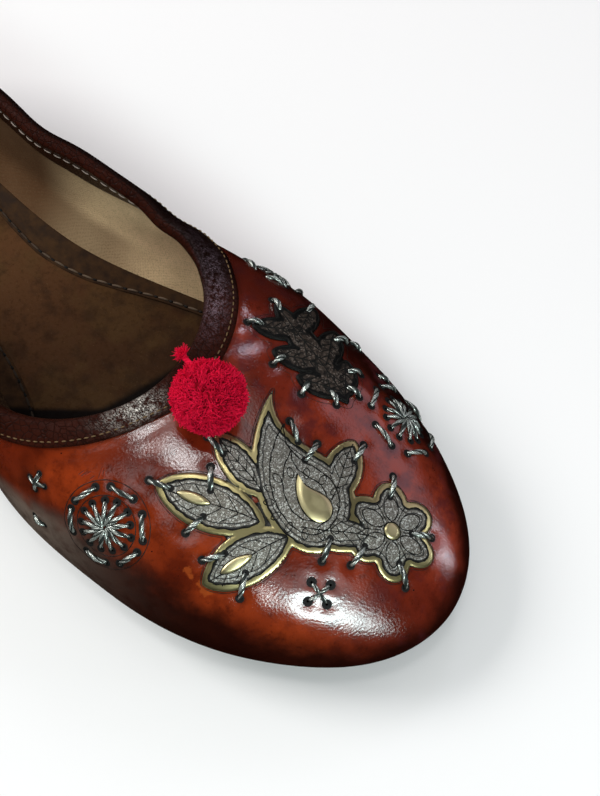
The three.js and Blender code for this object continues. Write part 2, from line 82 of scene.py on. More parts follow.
# The feather edge, where the upper meets the sole, as shares of the ball width.
FEATHER = {
    "at": (0.0, 0.06, 0.14, 0.24, 0.32, 0.4, 0.48, 0.58, 0.73, 0.87, 1.0),
    "medial": (0.444, 0.424, 0.426, 0.437, 0.453, 0.424, 0.343, 0.254, 0.268, 0.286, 0.292),
    "lateral": (0.447, 0.427, 0.431, 0.438, 0.43, 0.39, 0.308, 0.25, 0.27, 0.288, 0.292),
}
FEATHER_INSET = 4.0
# Height of the top edge beside the foot, as shares of the heel height.
TOPLINE = {
    "at": (0.0, 0.32, 0.4, 0.48, 0.58, 0.73, 0.87, 1.0),
    "height": (0.737, 0.726, 0.72, 0.747, 0.798, 0.881, 0.956, 1.0),
}
TREAD_FRONT = 52.0
TREAD_BACK = 102.0
HEEL_BREAST = 184.0
TOE_SPRING = 5.5
HEEL_PITCH = 4.7
SOLE_LEDGE = 0.8
INSOLE = 2.2
INSOLE_RIM = 4.0
INSOLE_RIM_THICK = 1.2
INSOLE_AIR = 0.5
BINDING_OUTSIDE = 7.0
BINDING_INSIDE = 5.5
ASPECT = 0.5
LOWER_POWER = 1.7


def listed(fields, *lines):
    """Each line of a table as a dict, by the names of its fields."""
    return tuple(dict(zip(fields.split(), line)) for line in lines)


def unit(vectors):
    return vectors / np.linalg.norm(vectors, axis=-1, keepdims=True)


def bell(x, centre, spread):
    return np.exp(-(((x - centre) / spread) ** 2))


def lengths_along(path):
    """Length of a path from its start to each of its points."""
    return np.concatenate([[0], np.cumsum(np.linalg.norm(np.diff(path, axis=0), axis=1))])


def column(table, name, scale=1.0):
    """Natural cubic spline through one column, as a function of the distance behind the toe."""
    x = np.array(table["at"]) * LENGTH
    y = np.array(table[name]) * scale
    step = np.diff(x)
    slope = np.diff(y) / step
    system = np.eye(len(x))
    turn = np.zeros(len(x))
    for i in range(1, len(x) - 1):
        system[i, i - 1 : i + 2] = step[i - 1], 2 * (step[i - 1] + step[i]), step[i]
        turn[i] = 6 * (slope[i] - slope[i - 1])
    bend = np.linalg.solve(system, turn)

    def at(d):
        i = np.clip(np.searchsorted(x, d, side="right") - 1, 0, len(x) - 2)
        b = np.clip((d - x[i]) / step[i], 0, 1)
        a = 1 - b
        curve = (a**3 - a) * bend[i] + (b**3 - b) * bend[i + 1]
        return a * y[i] + b * y[i + 1] + curve * step[i] ** 2 / 6

    return at


spine = column(LAST, "spine", BALL_WIDTH)
crest = column(LAST, "crest", INSTEP)
girth = column(LAST, "girth", INSTEP)
fullness = column(LAST, "fullness")
topline_height = column(TOPLINE, "height", HEEL_HEIGHT)
widest_medial = column(LAST, "medial", BALL_WIDTH)
widest_lateral = column(LAST, "lateral", BALL_WIDTH)
feather_medial = column(FEATHER, "medial", BALL_WIDTH)
feather_lateral = column(FEATHER, "lateral", BALL_WIDTH)


def taper(share, power):
    """Runs a width down to nothing at an end, as a share of it rises to 1."""
    return (1 - np.clip(share, 0, 1) ** power) ** (1 / power)


def girth_half(d, side):
    ends = taper(1 - d / TOE_RUN, TOE_POWER) * taper(1 - (LENGTH - d) / HEEL_RUN, HEEL_POWER)
    return np.where(side > 0, widest_medial(d), widest_lateral(d)) * ends


def feather_half(d, side):
    toe = taper(1 - (d - FEATHER_INSET) / (TOE_RUN - 2), TOE_POWER)
    back = taper(1 - (LENGTH - FEATHER_INSET - d) / (HEEL_RUN - 2), HEEL_POWER)
    return np.where(side > 0, feather_medial(d), feather_lateral(d)) * toe * back


def arch_rise(d):
    ends = taper(1 - d / TOE_CREST_RUN, 2) * taper(1 - (LENGTH - d) / BACK_CREST_RUN, 2)
    return (crest(d) - girth(d)) * ends


def collar_half(d, side):
    n = fullness(d)
    share = np.clip((topline_height(d) - girth(d)) / np.maximum(arch_rise(d), GAP), 0, 1)
    front = taper((MIDDLE - d) / (MIDDLE - THROAT), THROAT_POWER)
    return girth_half(d, side) * (1 - share**n) ** (1 / n) * front


def height_at(d, beside, side):
    n = fullness(d)
    share = np.clip(np.abs(beside) / np.maximum(girth_half(d, side), GAP), 0, 1)
    return girth(d) + arch_rise(d) * (1 - share**n) ** (1 / n)


def smooth(x, low=0.0, high=1.0):
    t = np.clip((x - low) / (high - low), 0, 1)
    return t * t * (3 - 2 * t)


def underside(d):
    toe = TOE_SPRING * np.clip(1 - d / TREAD_FRONT, 0, None) ** 2
    return toe + HEEL_PITCH * smooth(d, TREAD_BACK, HEEL_BREAST)


def halve(low, high, is_past):
    """Halves intervals until they close on the place where a rising test turns true."""
    for _ in range(40):
        middle = (low + high) / 2
        past = is_past(middle)
        high = np.where(past, middle, high)
        low = np.where(past, low, middle)
    return (low + high) / 2


COLLAR_BACK = float(halve(0.8 * LENGTH, LENGTH, lambda d: arch_rise(d) < topline_height(d) - girth(d)))


def on_ray(half, front, back, angle, side):
    """Where rays from the middle of the opening cross a plan curve. angle: 0 ahead, pi behind."""
    ahead = angle < PI / 2
    low = np.where(ahead, front, MIDDLE)
    high = np.where(ahead, MIDDLE, back)
    d = halve(low, high, lambda m: half(m, side) * np.cos(angle) > (MIDDLE - m) * np.sin(angle))
    return d, half(d, side)


def place(d, beside, side, z):
    return np.stack([LENGTH / 2 - d, spine(d) + side * beside, z + 0 * d], -1)


# The outer face is kept as a fine table of points and normals, by turn round the shoe (0 at the toe, by the
# medial side to 0.5 at the back) and share of the way up from the feather edge to the topline.
FACE_TURNS = 1200
FACE_SHARES = 260
FOOT_SAMPLES = 60
WALL_SAMPLES = 320


def face_table():
    turn = np.arange(FACE_TURNS) / FACE_TURNS
    side = np.where(turn <= 0.5, 1.0, -1.0)
    around = PI * np.where(turn <= 0.5, 2 * turn, 2 - 2 * turn)
    angle = np.arctan2(ASPECT * np.sin(around), np.cos(around))
    low_d, low_b = on_ray(feather_half, FEATHER_INSET, LENGTH - FEATHER_INSET, angle, side)
    wide_d, wide_b = on_ray(girth_half, 0.0, LENGTH, angle, side)
    high_d, high_b = on_ray(collar_half, THROAT, COLLAR_BACK, angle, side)
    foot = underside(wide_d) + SOLE + GAP
    rows = []
    for drop in np.linspace(1, 0, FOOT_SAMPLES, endpoint=False):
        inwards = drop**LOWER_POWER
        d = wide_d + (low_d - wide_d) * inwards
        beside = wide_b + (low_b - wide_b) * inwards
        rows.append(place(d, beside, side, girth(wide_d) + (foot - girth(wide_d)) * drop))
    for inwards in np.linspace(0, 1, WALL_SAMPLES) ** 3:
        d = wide_d + (high_d - wide_d) * inwards
        beside = wide_b + (high_b - wide_b) * inwards
        rows.append(place(d, beside, side, height_at(d, beside, side)))
    path = np.stack(rows, 1)
    gaps = np.linalg.norm(np.diff(path, axis=1), axis=2)
    reach = np.concatenate([np.zeros((FACE_TURNS, 1)), np.cumsum(gaps, 1)], 1)
    shares = np.linspace(0, 1, FACE_SHARES)
    points = np.empty((FACE_TURNS, FACE_SHARES, 3))
    for i in range(FACE_TURNS):
        for k in range(3):
            points[i, :, k] = np.interp(shares * reach[i, -1], reach[i], path[i, :, k])
    along = np.roll(points, -4, 0) - np.roll(points, 4, 0)
    upward = np.gradient(points, axis=1)
    return points, unit(np.cross(along, upward)), reach[:, -1]


FACE, NORMALS, REACH = face_table()


def look_up(table, turn, share):
    """Smooth value of a face table at turns and shares."""
    turn, share = np.broadcast_arrays(np.asarray(turn, float), np.asarray(share, float))
    u = (turn % 1.0) * FACE_TURNS
    v = np.clip(share, 0, 1) * (FACE_SHARES - 1)
    i = np.floor(u).astype(int) % FACE_TURNS
    j = np.minimum(np.floor(v).astype(int), FACE_SHARES - 2)
    a = (u - np.floor(u))[..., None]
    b = (v - j)[..., None]
    n = (i + 1) % FACE_TURNS
    low = table[i, j] * (1 - a) + table[n, j] * a
    high = table[i, j + 1] * (1 - a) + table[n, j + 1] * a
    return low * (1 - b) + high * b


# Soft dents of the soft topline: where round the shoe, how far along, how deep (a bulge is negative).
DENTS = listed(
    "turn along deep",
    (0.338, 0.020, 1.5),
    (0.236, 0.014, 1.3),
    (0.192, 0.012, -0.4),
    (0.700, 0.025, 0.7),
)


def dent(turn, share):
    turn = np.asarray(turn) % 1.0
    pressed = sum(each["deep"] * bell(turn, each["turn"], each["along"]) for each in DENTS)
    return pressed * smooth(share, 0.35, 1.0)


def skin(turn, share, offset):
    """Point of the outer face moved out by an offset, which is negative inside it."""
    offset = np.asarray(offset) - dent(turn, share)
    return look_up(FACE, turn, share) + unit(look_up(NORMALS, turn, share)) * offset[..., None]


def reach_at(turn):
    """Length of the wall from the feather edge to the topline."""
    turns = np.arange(FACE_TURNS + 1) / FACE_TURNS
    return np.interp(np.asarray(turn) % 1.0, turns, np.append(REACH, REACH[0]))


def from_top(turn, down, offset):
    """The same form by distance down from the topline; a negative distance runs on past it."""
    turn = np.asarray(turn, float)
    down = np.asarray(down, float) + 0 * turn
    point = skin(turn, 1 - np.maximum(down, 0) / reach_at(turn), offset)
    rise = unit(look_up(FACE, turn, 1.0) - look_up(FACE, turn, 0.99))
    return point + rise * np.maximum(-down, 0)[..., None]


def wall_at(turn, height, offset):
    """Point of the lower wall at a height above the floor."""
    turn = np.asarray(turn, float)
    height = np.asarray(height, float)
    foot = skin(turn, 0.0, offset)
    slope = unit(look_up(FACE, turn, 0.01) - look_up(FACE, turn, 0.0))
    below = foot + slope * ((height - foot[..., 2]) / slope[..., 2])[..., None]
    share = halve(0 * turn, 0 * turn + 0.6, lambda s: skin(turn, s, offset)[..., 2] > height)
    above = skin(turn, share, offset)
    return np.where((foot[..., 2] >= height)[..., None], below, above)


def vamp_face(d, y):
    beside = y - spine(d)
    return np.stack([LENGTH / 2 - d, y + 0 * d, height_at(d, beside, np.where(beside >= 0, 1.0, -1.0))], -1)


# Soft troughs and ridges of the lasted leather: place in plan, how far they run along and across their own
# direction, turned from the shoe's length, and how deep (a ridge is negative).
FOLDS = listed(
    "d y along across turned deep",
    (71.0, 22.0, 15.0, 2.6, 62.0, 0.28),
    (69.0, -24.0, 16.0, 3.4, -58.0, 0.12),
    (58.0, 33.0, 14.0, 3.0, 15.0, 0.22),
    (37.0, 19.5, 10.0, 4.0, 50.0, 0.30),
    (46.0, 15.0, 8.0, 3.5, 20.0, -0.16),
    (60.0, -31.0, 12.0, 4.0, -20.0, 0.12),
    (30.0, -24.0, 12.0, 4.5, -48.0, 0.14),
    (96.0, -40.0, 16.0, 4.0, -12.0, 0.30),
    (104.0, 40.0, 16.0, 4.0, 14.0, 0.30),
    (18.0, 12.0, 9.0, 5.0, 40.0, 0.12),
)


def fold_depth(d, y):
    depth = 0 * (d + y)
    for fold in FOLDS:
        turned = math.radians(fold["turned"])
        forward = fold["d"] - d
        beside = y - fold["y"]
        along = forward * math.cos(turned) + beside * math.sin(turned)
        across = -forward * math.sin(turned) + beside * math.cos(turned)
        away = (along / fold["along"]) ** 2 + (across / fold["across"]) ** 2
        depth = depth + fold["deep"] * np.exp(-away)
    return depth


# ---------------------------------------------------------------------------------------------------------
# Places of the hand work, in plan millimetres
# ---------------------------------------------------------------------------------------------------------
HOLE = 0.95
ROSETTES = (
    {
        "d": 70.5, "y": -36.1, "spoke": 5.9, "dash": 9.3, "turned": 0.1, "scored": True,
        "dashes": (165, 103, 42, -15, -75, -145),
    },
    {
        "d": 36.4, "y": 31.5, "spoke": 5.7, "dash": 9.8, "turned": 0.35, "scored": False,
        "dashes": (192, 257, 323, 20, 80, 137),
    },
    {
        "turn": 0.1935, "share": 0.53, "spoke": 5.6, "dash": 8.8, "turned": 0.6,
        "scored": False, "dashes": (0, 60, 120, 180, 240, 300),
    },
)
SPOKES = 13
SCORED = (7.3, 10.7)
# Single stitches: place, angle from the toe's direction, and length.
DASH_STITCHES = listed(
    "d y angle long",
    (87.0, -43.4, -12, 3.4),
    (58.2, 39.8, 10, 3.4),
    (47.2, 37.4, 15, 3.4),
)
# Places where the dye is rubbed to a lighter tan.
SCUFFS = listed(
    "d y radius",
    (49.8, -31.3, 1.0),
    (48.6, -31.9, 0.8),
    (45.7, -31.5, 1.1),
    (44.3, -32.2, 1.2),
    (43.2, -31.5, 0.7),
)
# Short cuts in the surface by the lateral rosette: end to end, as distance behind the toe and y.
CUTS = (
    ((81.9, -31.7), (81.4, -30.4)),
    ((81.2, -31.7), (80.5, -29.8)),
    ((80.6, -30.9), (80.0, -29.6)),
    ((79.1, -30.9), (78.7, -29.8)),
    ((77.6, -29.7), (78.4, -27.2)),
    ((76.9, -28.8), (77.7, -27.6)),
)
CROSS = {"d": 90.2, "y": -38.4, "arm": 2.3}
FOUR_HOLES = {"d": 24.3, "y": -15.7, "apart": 4.5, "turned": 1.40}

# The foil lies lower than the solid's full thickness, with its edge turned down.
PATCH_THICK = 0.35
PATCH_TOP = GAP + PATCH_THICK


def polar(count, reach, wobble=None):
    u = 2 * PI * np.arange(count) / count
    radius = reach if wobble is None else reach * wobble(u)
    return np.stack([radius * np.cos(u), radius * np.sin(u)], 1)


def leaf(length, width, count=72):
    u = 2 * PI * np.arange(count) / count
    return np.stack([0.5 * length * np.cos(u), 0.5 * width * np.sin(u) * np.abs(np.sin(u)) ** 0.4], 1)


def mango(length, width, curl):
    u = 2 * PI * np.arange(120) / 120
    along = 0.5 * length * np.cos(u)
    across = 0.5 * width * np.sin(u) * np.sin(u / 2) ** 1.3 * 1.25
    turn = curl * ((along + 0.5 * length) / length) ** 2
    x = (along + 0.5 * length) * np.cos(turn) - across * np.sin(turn) - 0.5 * length
    return np.stack([x, (along + 0.5 * length) * np.sin(turn) + across * np.cos(turn)], 1)


def flower(radius, petals):
    return polar(144, radius, lambda u: 0.74 + 0.26 * np.abs(np.cos(petals * u / 2)))


def laid(path, d, y, turn):
    """A path, turned and laid at a plan place, as plan places (d, y)."""
    c, s = math.cos(turn), math.sin(turn)
    x = path[:, 0] * c - path[:, 1] * s
    return np.stack([d - x, y + path[:, 0] * s + path[:, 1] * c], 1)


def motif_at(outline, d, y, turn):
    """An outline with the plan place and turn at which it lies on the vamp."""
    return {"outline": outline, "d": d, "y": y, "turn": turn}


def laid_on(motif, path):
    """A path in a motif's own frame, as plan places (d, y)."""
    return laid(path, motif["d"], motif["y"], motif["turn"])


GOLD_MOTIFS = {
    "drop": motif_at(mango(35, 24, -0.7), 44.5, -5.3, 1.12 * PI),
    "flower": motif_at(flower(11, 6), 21, 6.2, 0.2),
    "leaf_back": motif_at(leaf(26, 12), 54.5, -17.8, 1.12 * PI),
    "leaf_side": motif_at(leaf(23, 11), 41, -20.8, 1.37 * PI),
    "leaf_inner": motif_at(leaf(17, 9), 37.5, 8.2, 0.6 * PI),
    "leaf_toe": motif_at(leaf(20, 9), 29.5, -2.8, 0.2 * PI),
    "leaf_throat": motif_at(leaf(18, 8.5), 55, -6.8, 0.94 * PI),
}
DARK_MOTIFS = {
    "stem": motif_at(leaf(31, 8), 62, 26.7, -0.28),
    "a": motif_at(leaf(13, 6.5), 71, 25.7, 0.7),
    "b": motif_at(leaf(13, 6.5), 69, 32.7, -1.25),
    "c": motif_at(leaf(13, 7), 62.5, 22.7, 0.5),
    "e": motif_at(leaf(14, 7), 60, 31.2, -1.1),
    "f": motif_at(leaf(12, 6.5), 54.5, 21.2, 0.45),
    "g": motif_at(leaf(12, 6.5), 52, 27.2, -0.95),
}
# Tack stitches: from a place in a patch outwards at an angle in plan, 0 to the toe and 90 to the medial side.
GOLD_TACKS = listed(
    "d y angle",
    (62.0, -20.5, 200),
    (56.0, -16.0, 130),
    (60.0, -7.5, 172),
    (52.0, 8.0, 150),
    (45.0, 2.0, 95),
    (37.0, 11.5, 100),
    (24.5, 9.0, 118),
    (18.0, 9.0, 40),
    (17.0, 3.0, -30),
    (23.5, 1.5, -85),
    (30.0, -5.0, -70),
    (38.5, -25.5, -65),
    (46.5, -25.0, -125),
    (54.0, -21.0, -100),
)
DARK_TACKS = listed(
    "d y angle",
    (74.0, 24.0, 215),
    (72.5, 29.5, 160),
    (70.5, 35.0, 110),
    (62.0, 33.5, 60),
    (65.0, 21.0, -100),
    (57.0, 19.5, -75),
    (53.0, 29.5, 50),
    (49.0, 26.0, 10),
    (51.5, 21.5, -25),
)
GOLD_TACK_REACH = (1.9, 3.4)  # outside and inside the patch's edge
DARK_TACK_REACH = (1.4, 2.3)


FAR = 1e9
STITCH_STEPS = np.linspace(0, 1, 12)[:, None]


def distance_to(outline, d, y):
    """Signed distance in plan from a closed outline, negative inside."""
    best = np.full(d.shape, FAR)
    inside = np.zeros(d.shape, bool)
    for (ad, ay), (bd, by) in zip(outline, np.roll(outline, -1, 0)):
        ed, ey = bd - ad, by - ay
        t = np.clip(((d - ad) * ed + (y - ay) * ey) / (ed * ed + ey * ey), 0, 1)
        best = np.minimum(best, np.hypot(d - ad - t * ed, y - ay - t * ey))
        crosses = (ay > y) != (by > y)
        with np.errstate(divide="ignore", invalid="ignore"):
            inside ^= crosses & (d < (bd - ad) * (y - ay) / (by - ay) + ad)
    return np.where(inside, -best, best)


def patch_distance(motifs, d, y):
    d, y = np.broadcast_arrays(np.asarray(d, float), np.asarray(y, float))
    best = np.full(d.shape, FAR)
    for motif in motifs.values():
        best = np.minimum(best, distance_to(laid_on(motif, motif["outline"]), d, y))
    return best


def march(motifs, tack):
    """From a place in a patch outwards to its edge: the plan place on the edge and the direction."""
    angle = math.radians(tack["angle"])
    way = np.array([-math.cos(angle), math.sin(angle)])
    start = np.array([tack["d"], tack["y"]], float)
    places = start + np.arange(0, 16, 0.1)[:, None] * way
    signed = patch_distance(motifs, places[:, 0], places[:, 1])
    outside = np.nonzero(signed > 0)[0]
    edge = places[outside[0]] if len(outside) else places[-1]
    return edge, way


def local_frame(d, y):
    """Centre and two unit directions on the leather: to the toe, and to the medial side."""
    d, y = np.float64(d), np.float64(y)
    step = 0.4
    centre = vamp_face(d, y)
    forward = vamp_face(d - step, y) - vamp_face(d + step, y)
    across = vamp_face(d, y + step) - vamp_face(d, y - step)
    normal = np.cross(forward, across)
    normal /= np.linalg.norm(normal)
    forward /= np.linalg.norm(forward)
    return centre, forward, np.cross(normal, forward)


def on_leather(centre_d, centre_y, along, across):
    """Plan places that lie at distances along and across from a centre, measured on its tangent plane."""
    centre, forward, sideways = local_frame(centre_d, centre_y)
    along = np.asarray(along, float)
    across = np.asarray(across, float)
    d = centre_d - along * forward[0] - across * sideways[0]
    y = centre_y + along * forward[1] + across * sideways[1]
    step = 0.2
    for _ in range(6):
        away = vamp_face(d, y) - centre
        miss_along = along - away @ forward
        miss_across = across - away @ sideways
        by_d = (vamp_face(d + step, y) - vamp_face(d - step, y)) / (2 * step)
        by_y = (vamp_face(d, y + step) - vamp_face(d, y - step)) / (2 * step)
        a, b = by_d @ forward, by_y @ forward
        c, e = by_d @ sideways, by_y @ sideways
        det = a * e - b * c
        det = np.where(np.abs(det) < 0.05, 0.05, det)
        d = d + np.clip((e * miss_along - b * miss_across) / det, -2, 2)
        y = y + np.clip((a * miss_across - c * miss_along) / det, -2, 2)
    return np.stack([d, y], -1)


def plan_path(start, end):
    """Bare points and normals of the leather from one plan place to another."""
    return bare_face(*(start + (end - start) * STITCH_STEPS).T)


def bare_face(d, y):
    """Points and normals of the leather without folds or dimples, by plan place."""
    step = 0.4
    forward = vamp_face(d - step, y) - vamp_face(d + step, y)
    across = vamp_face(d, y + step) - vamp_face(d, y - step)
    return vamp_face(d, y), unit(np.cross(forward, across))


def seat_on_vamp(centre_d, centre_y):
    """Points and normals of the leather by distances along and across from a plan place."""

    def at(along, across):
        places = on_leather(centre_d, centre_y, along, across)
        return bare_face(places[:, 0], places[:, 1])

    return at


def seat_on_wall(turn, share):
    """The same on the steep side wall, from a turn round the shoe and a share of the way up."""
    centre = look_up(FACE, turn, share)
    normal = look_up(NORMALS, turn, share)
    forward = np.array([1.0, 0, 0]) - normal * normal[0]
    forward /= np.linalg.norm(forward)
    sideways = np.cross(normal, forward)

    def at(along, across):
        along, across = np.asarray(along, float), np.asarray(across, float)
        t, s = turn + 0 * along, share + 0 * along
        for _ in range(12):
            away = look_up(FACE, t, s) - centre
            miss_along, miss_across = along - away @ forward, across - away @ sideways
            by_t = (look_up(FACE, t + 0.002, s) - look_up(FACE, t - 0.002, s)) / 0.004
            by_s = (look_up(FACE, t, s + 0.01) - look_up(FACE, t, s - 0.01)) / 0.02
            a, b, c, e = by_t @ forward, by_s @ forward, by_t @ sideways, by_s @ sideways
            det = a * e - b * c
            t = t + np.clip((e * miss_along - b * miss_across) / det, -0.02, 0.02)
            s = np.clip(s + np.clip((a * miss_across - c * miss_along) / det, -0.1, 0.1), 0.02, 0.98)
        return look_up(FACE, t, s), look_up(NORMALS, t, s)

    return at


def seat_of(one):
    """The seat of a piece of hand work, from the place that its table gives."""
    if "share" in one:
        return seat_on_wall(one["turn"], one["share"])
    return seat_on_vamp(one["d"], one["y"])


class HandWork:
    """Every stitch as bare points, normals, width and rise, and every pricked hole."""

    def __init__(self):
        self.stitches = []
        self.holes = []

    def stitch(self, path, width, rise):
        self.stitches.append({"points": path[0], "normals": path[1], "width": width, "rise": rise})

    def hole(self, seat, along, across, radius, base=0.0):
        """A hole at distances along and across a seat, with its rim at a base above the leather."""
        u = 2 * PI * np.arange(14) / 14
        point, normal = seat(np.array([along, along]), np.array([across, across]))
        rings = []
        for share in (1.12, 0.98, 0.70, 0.25):
            rings.append(seat(along + share * radius * np.cos(u), across + share * radius * np.sin(u)))
        self.holes.append({"centre": point[0], "normal": normal[0], "rings": rings, "base": base})

    def row(self, seat, start, end, width, rise, hole=None):
        """A stitch between two places on a seat, with a hole at each end where its radius is given."""
        start, end = np.asarray(start, float), np.asarray(end, float)
        way = start + (end - start) * STITCH_STEPS
        self.stitch(seat(way[:, 0], way[:, 1]), width, rise)
        if hole:
            self.hole(seat, *start, hole)
            self.hole(seat, *end, hole)


def ray(angle, reach):
    return np.array([reach * math.cos(angle), reach * math.sin(angle)])


def sew_rosettes(work):
    for rosette in ROSETTES:
        seat = seat_of(rosette)
        for k in range(SPOKES):
            angle = 2 * PI * (k + 0.5) / SPOKES + rosette["turned"] + rng.normal(0, 0.05)
            reach = rosette["spoke"] * rng.uniform(0.93, 1.05)
            work.row(seat, ray(angle, 0.4), ray(angle, reach), width=1.05, rise=0.6)
            work.hole(seat, *ray(angle, reach + 0.35), 0.95 * HOLE)
        for angle in rosette["dashes"]:
            middle = math.radians(angle)
            start, end = (middle + side * 0.32 + rng.normal(0, 0.02) for side in (-1, 1))
            dash = rosette["dash"]
            work.row(seat, ray(start, dash), ray(end, dash), width=1.15, rise=0.7, hole=HOLE)


def sew_singles(work):
    for one in DASH_STITCHES:
        seat = seat_of(one)
        half = ray(math.radians(one["angle"]), one["long"] / 2)
        work.row(seat, -half, half, width=1.25, rise=0.7, hole=0.8 * HOLE)
    seat = seat_of(CROSS)
    for angle in (0.15, 0.15 + PI / 2):
        half = ray(angle, CROSS["arm"])
        work.row(seat, -half, half, width=1.1, rise=0.8, hole=0.75 * HOLE)
    seat = seat_of(FOUR_HOLES)
    for k in range(4):
        corner = ray(FOUR_HOLES["turned"] + k * PI / 2, FOUR_HOLES["apart"] / math.sqrt(2))
        work.row(seat, 0.03 * corner, 0.85 * corner, width=1.0, rise=0.45)
        work.hole(seat, corner[0], corner[1], 1.15 * HOLE)


def sew_tacks(work):
    gold, dark = (GOLD_MOTIFS, GOLD_TACKS, GOLD_TACK_REACH), (DARK_MOTIFS, DARK_TACKS, DARK_TACK_REACH)
    for motifs, tacks, reach in (gold, dark):
        for tack in tacks:
            edge, way = march(motifs, tack)
            out, inward = edge + way * reach[0], edge - way * reach[1]
            work.stitch(plan_path(out, inward), width=1.3, rise=PATCH_TOP + 0.7)
            work.hole(seat_on_vamp(*out), 0.0, 0.0, HOLE)
            work.hole(seat_on_vamp(*inward), 0.0, 0.0, 0.8 * HOLE, base=PATCH_TOP)


WORK = HandWork()
sew_rosettes(WORK)
sew_singles(WORK)
sew_tacks(WORK)
HOLE_POINTS = np.array([hole["centre"] for hole in WORK.holes])


def pulled_in(points, reach=2.2, deep=0.28):
    """How deep the leather is drawn in at points near the holes."""
    flat = np.asarray(points).reshape(-1, 3)
    depth = np.zeros(len(flat))
    for hole in HOLE_POINTS:
        near = np.abs(flat - hole).max(1) < 3 * reach
        away = ((flat[near] - hole) ** 2).sum(1)
        depth[near] = np.maximum(depth[near], deep * np.exp(-away / reach**2))
    return depth.reshape(np.asarray(points).shape[:-1])


def leather_face(d, y):
    """The outer face with its folds and dimples, by plan place."""
    d, y = np.broadcast_arrays(np.asarray(d, float), np.asarray(y, float))
    point, normal = bare_face(d, y)
    return point - normal * (fold_depth(d, y) + pulled_in(point))[..., None], normal


def dressed(points, normals):
    """Bare points of the leather moved in by its folds and dimples."""
    points = np.asarray(points)
    folds = fold_depth(LENGTH / 2 - points[..., 0], points[..., 1]) * smooth(points[..., 2], 14.0, 19.0)
    return points - normals * (folds + pulled_in(points))[..., None]


def vamp_skin(d, y, offset):
    point, normal = leather_face(d, y)
    return point + normal * np.asarray(offset)[..., None]


# ---------------------------------------------------------------------------------------------------------
# Mesh making
# ---------------------------------------------------------------------------------------------------------
def add_mesh(name, points, faces, material, replaces=None):
    """A piece from points in millimetres, which rides on the one body and takes the materials given."""
    mesh = bpy.data.meshes.new(name)
    mesh.from_pydata((np.asarray(points) * MM).tolist(), [], [tuple(int(i) for i in f) for f in faces])
    mesh.validate()
    mesh.update()
    mesh.shade_smooth()
    for one in material if isinstance(material, (list, tuple)) else [material]:
        mesh.materials.append(one)
    piece = bpy.data.objects.new(name, mesh)
    bpy.context.scene.collection.objects.link(piece)
    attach(piece, "root")
    if replaces:
        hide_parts(replaces)
    return piece


def paint(piece, name, values):
    """A number at each vertex, for the piece's material to read."""
    attribute = piece.data.attributes.new(name, "FLOAT", "POINT")
    attribute.data.foreach_set("value", np.asarray(values, np.float32).ravel())


def grid_faces(rows, columns, wraps_rows, wraps_columns):
    """Quads between rows x columns of points."""
    i = np.arange(rows if wraps_rows else rows - 1)
    j = np.arange(columns if wraps_columns else columns - 1)
    i, j = np.meshgrid(i, j, indexing="ij")
    n, m = (i + 1) % rows, (j + 1) % columns
    quads = np.stack([i * columns + j, n * columns + j, n * columns + m, i * columns + m], -1)
    return quads.reshape(-1, 4)


def cap(level, count):
    """One face over the points of a level."""
    return tuple(range(level * count, (level + 1) * count))


def tube(path, radii, sides, ups=None):
    """A round tube along a path, with closed ends, as points and faces."""
    path = np.asarray(path, float)
    count = len(path)
    tangent = np.gradient(path, axis=0)
    tangent /= np.linalg.norm(tangent, axis=1, keepdims=True) + 1e-12
    if ups is None:
        ups = np.tile(np.array([0.0, 0.0, 1.0]), (count, 1))
    across = np.cross(ups, tangent)
    short = np.linalg.norm(across, axis=1) < 1e-6
    across[short] = np.cross(np.array([1.0, 0.0, 0.0]), tangent[short])
    across /= np.linalg.norm(across, axis=1, keepdims=True) + 1e-12
    over = np.cross(tangent, across)
    u = 2 * PI * np.arange(sides) / sides
    radii = np.broadcast_to(np.asarray(radii, float), (count,))
    ring = across[:, None] * np.cos(u)[:, None] + over[:, None] * np.sin(u)[:, None]
    points = (path[:, None] + ring * radii[:, None, None]).reshape(-1, 3)
    return points, [*grid_faces(count, sides, False, True), cap(0, sides), cap(count - 1, sides)[::-1]]


class Bundle:
    """Many small forms gathered into one mesh."""

    def __init__(self):
        self.points = []
        self.faces = []
        self.marks = []
        self.count = 0

    def add(self, points, faces, mark=0.5):
        self.points.append(np.asarray(points))
        self.faces.extend(tuple(i + self.count for i in face) for face in faces)
        self.marks.append(np.full(len(points), mark))
        self.count += len(points)

    def piece(self, name, material, slot):
        made = add_mesh(name, np.concatenate(self.points), self.faces, material)
        paint(made, "mark", np.concatenate(self.marks))


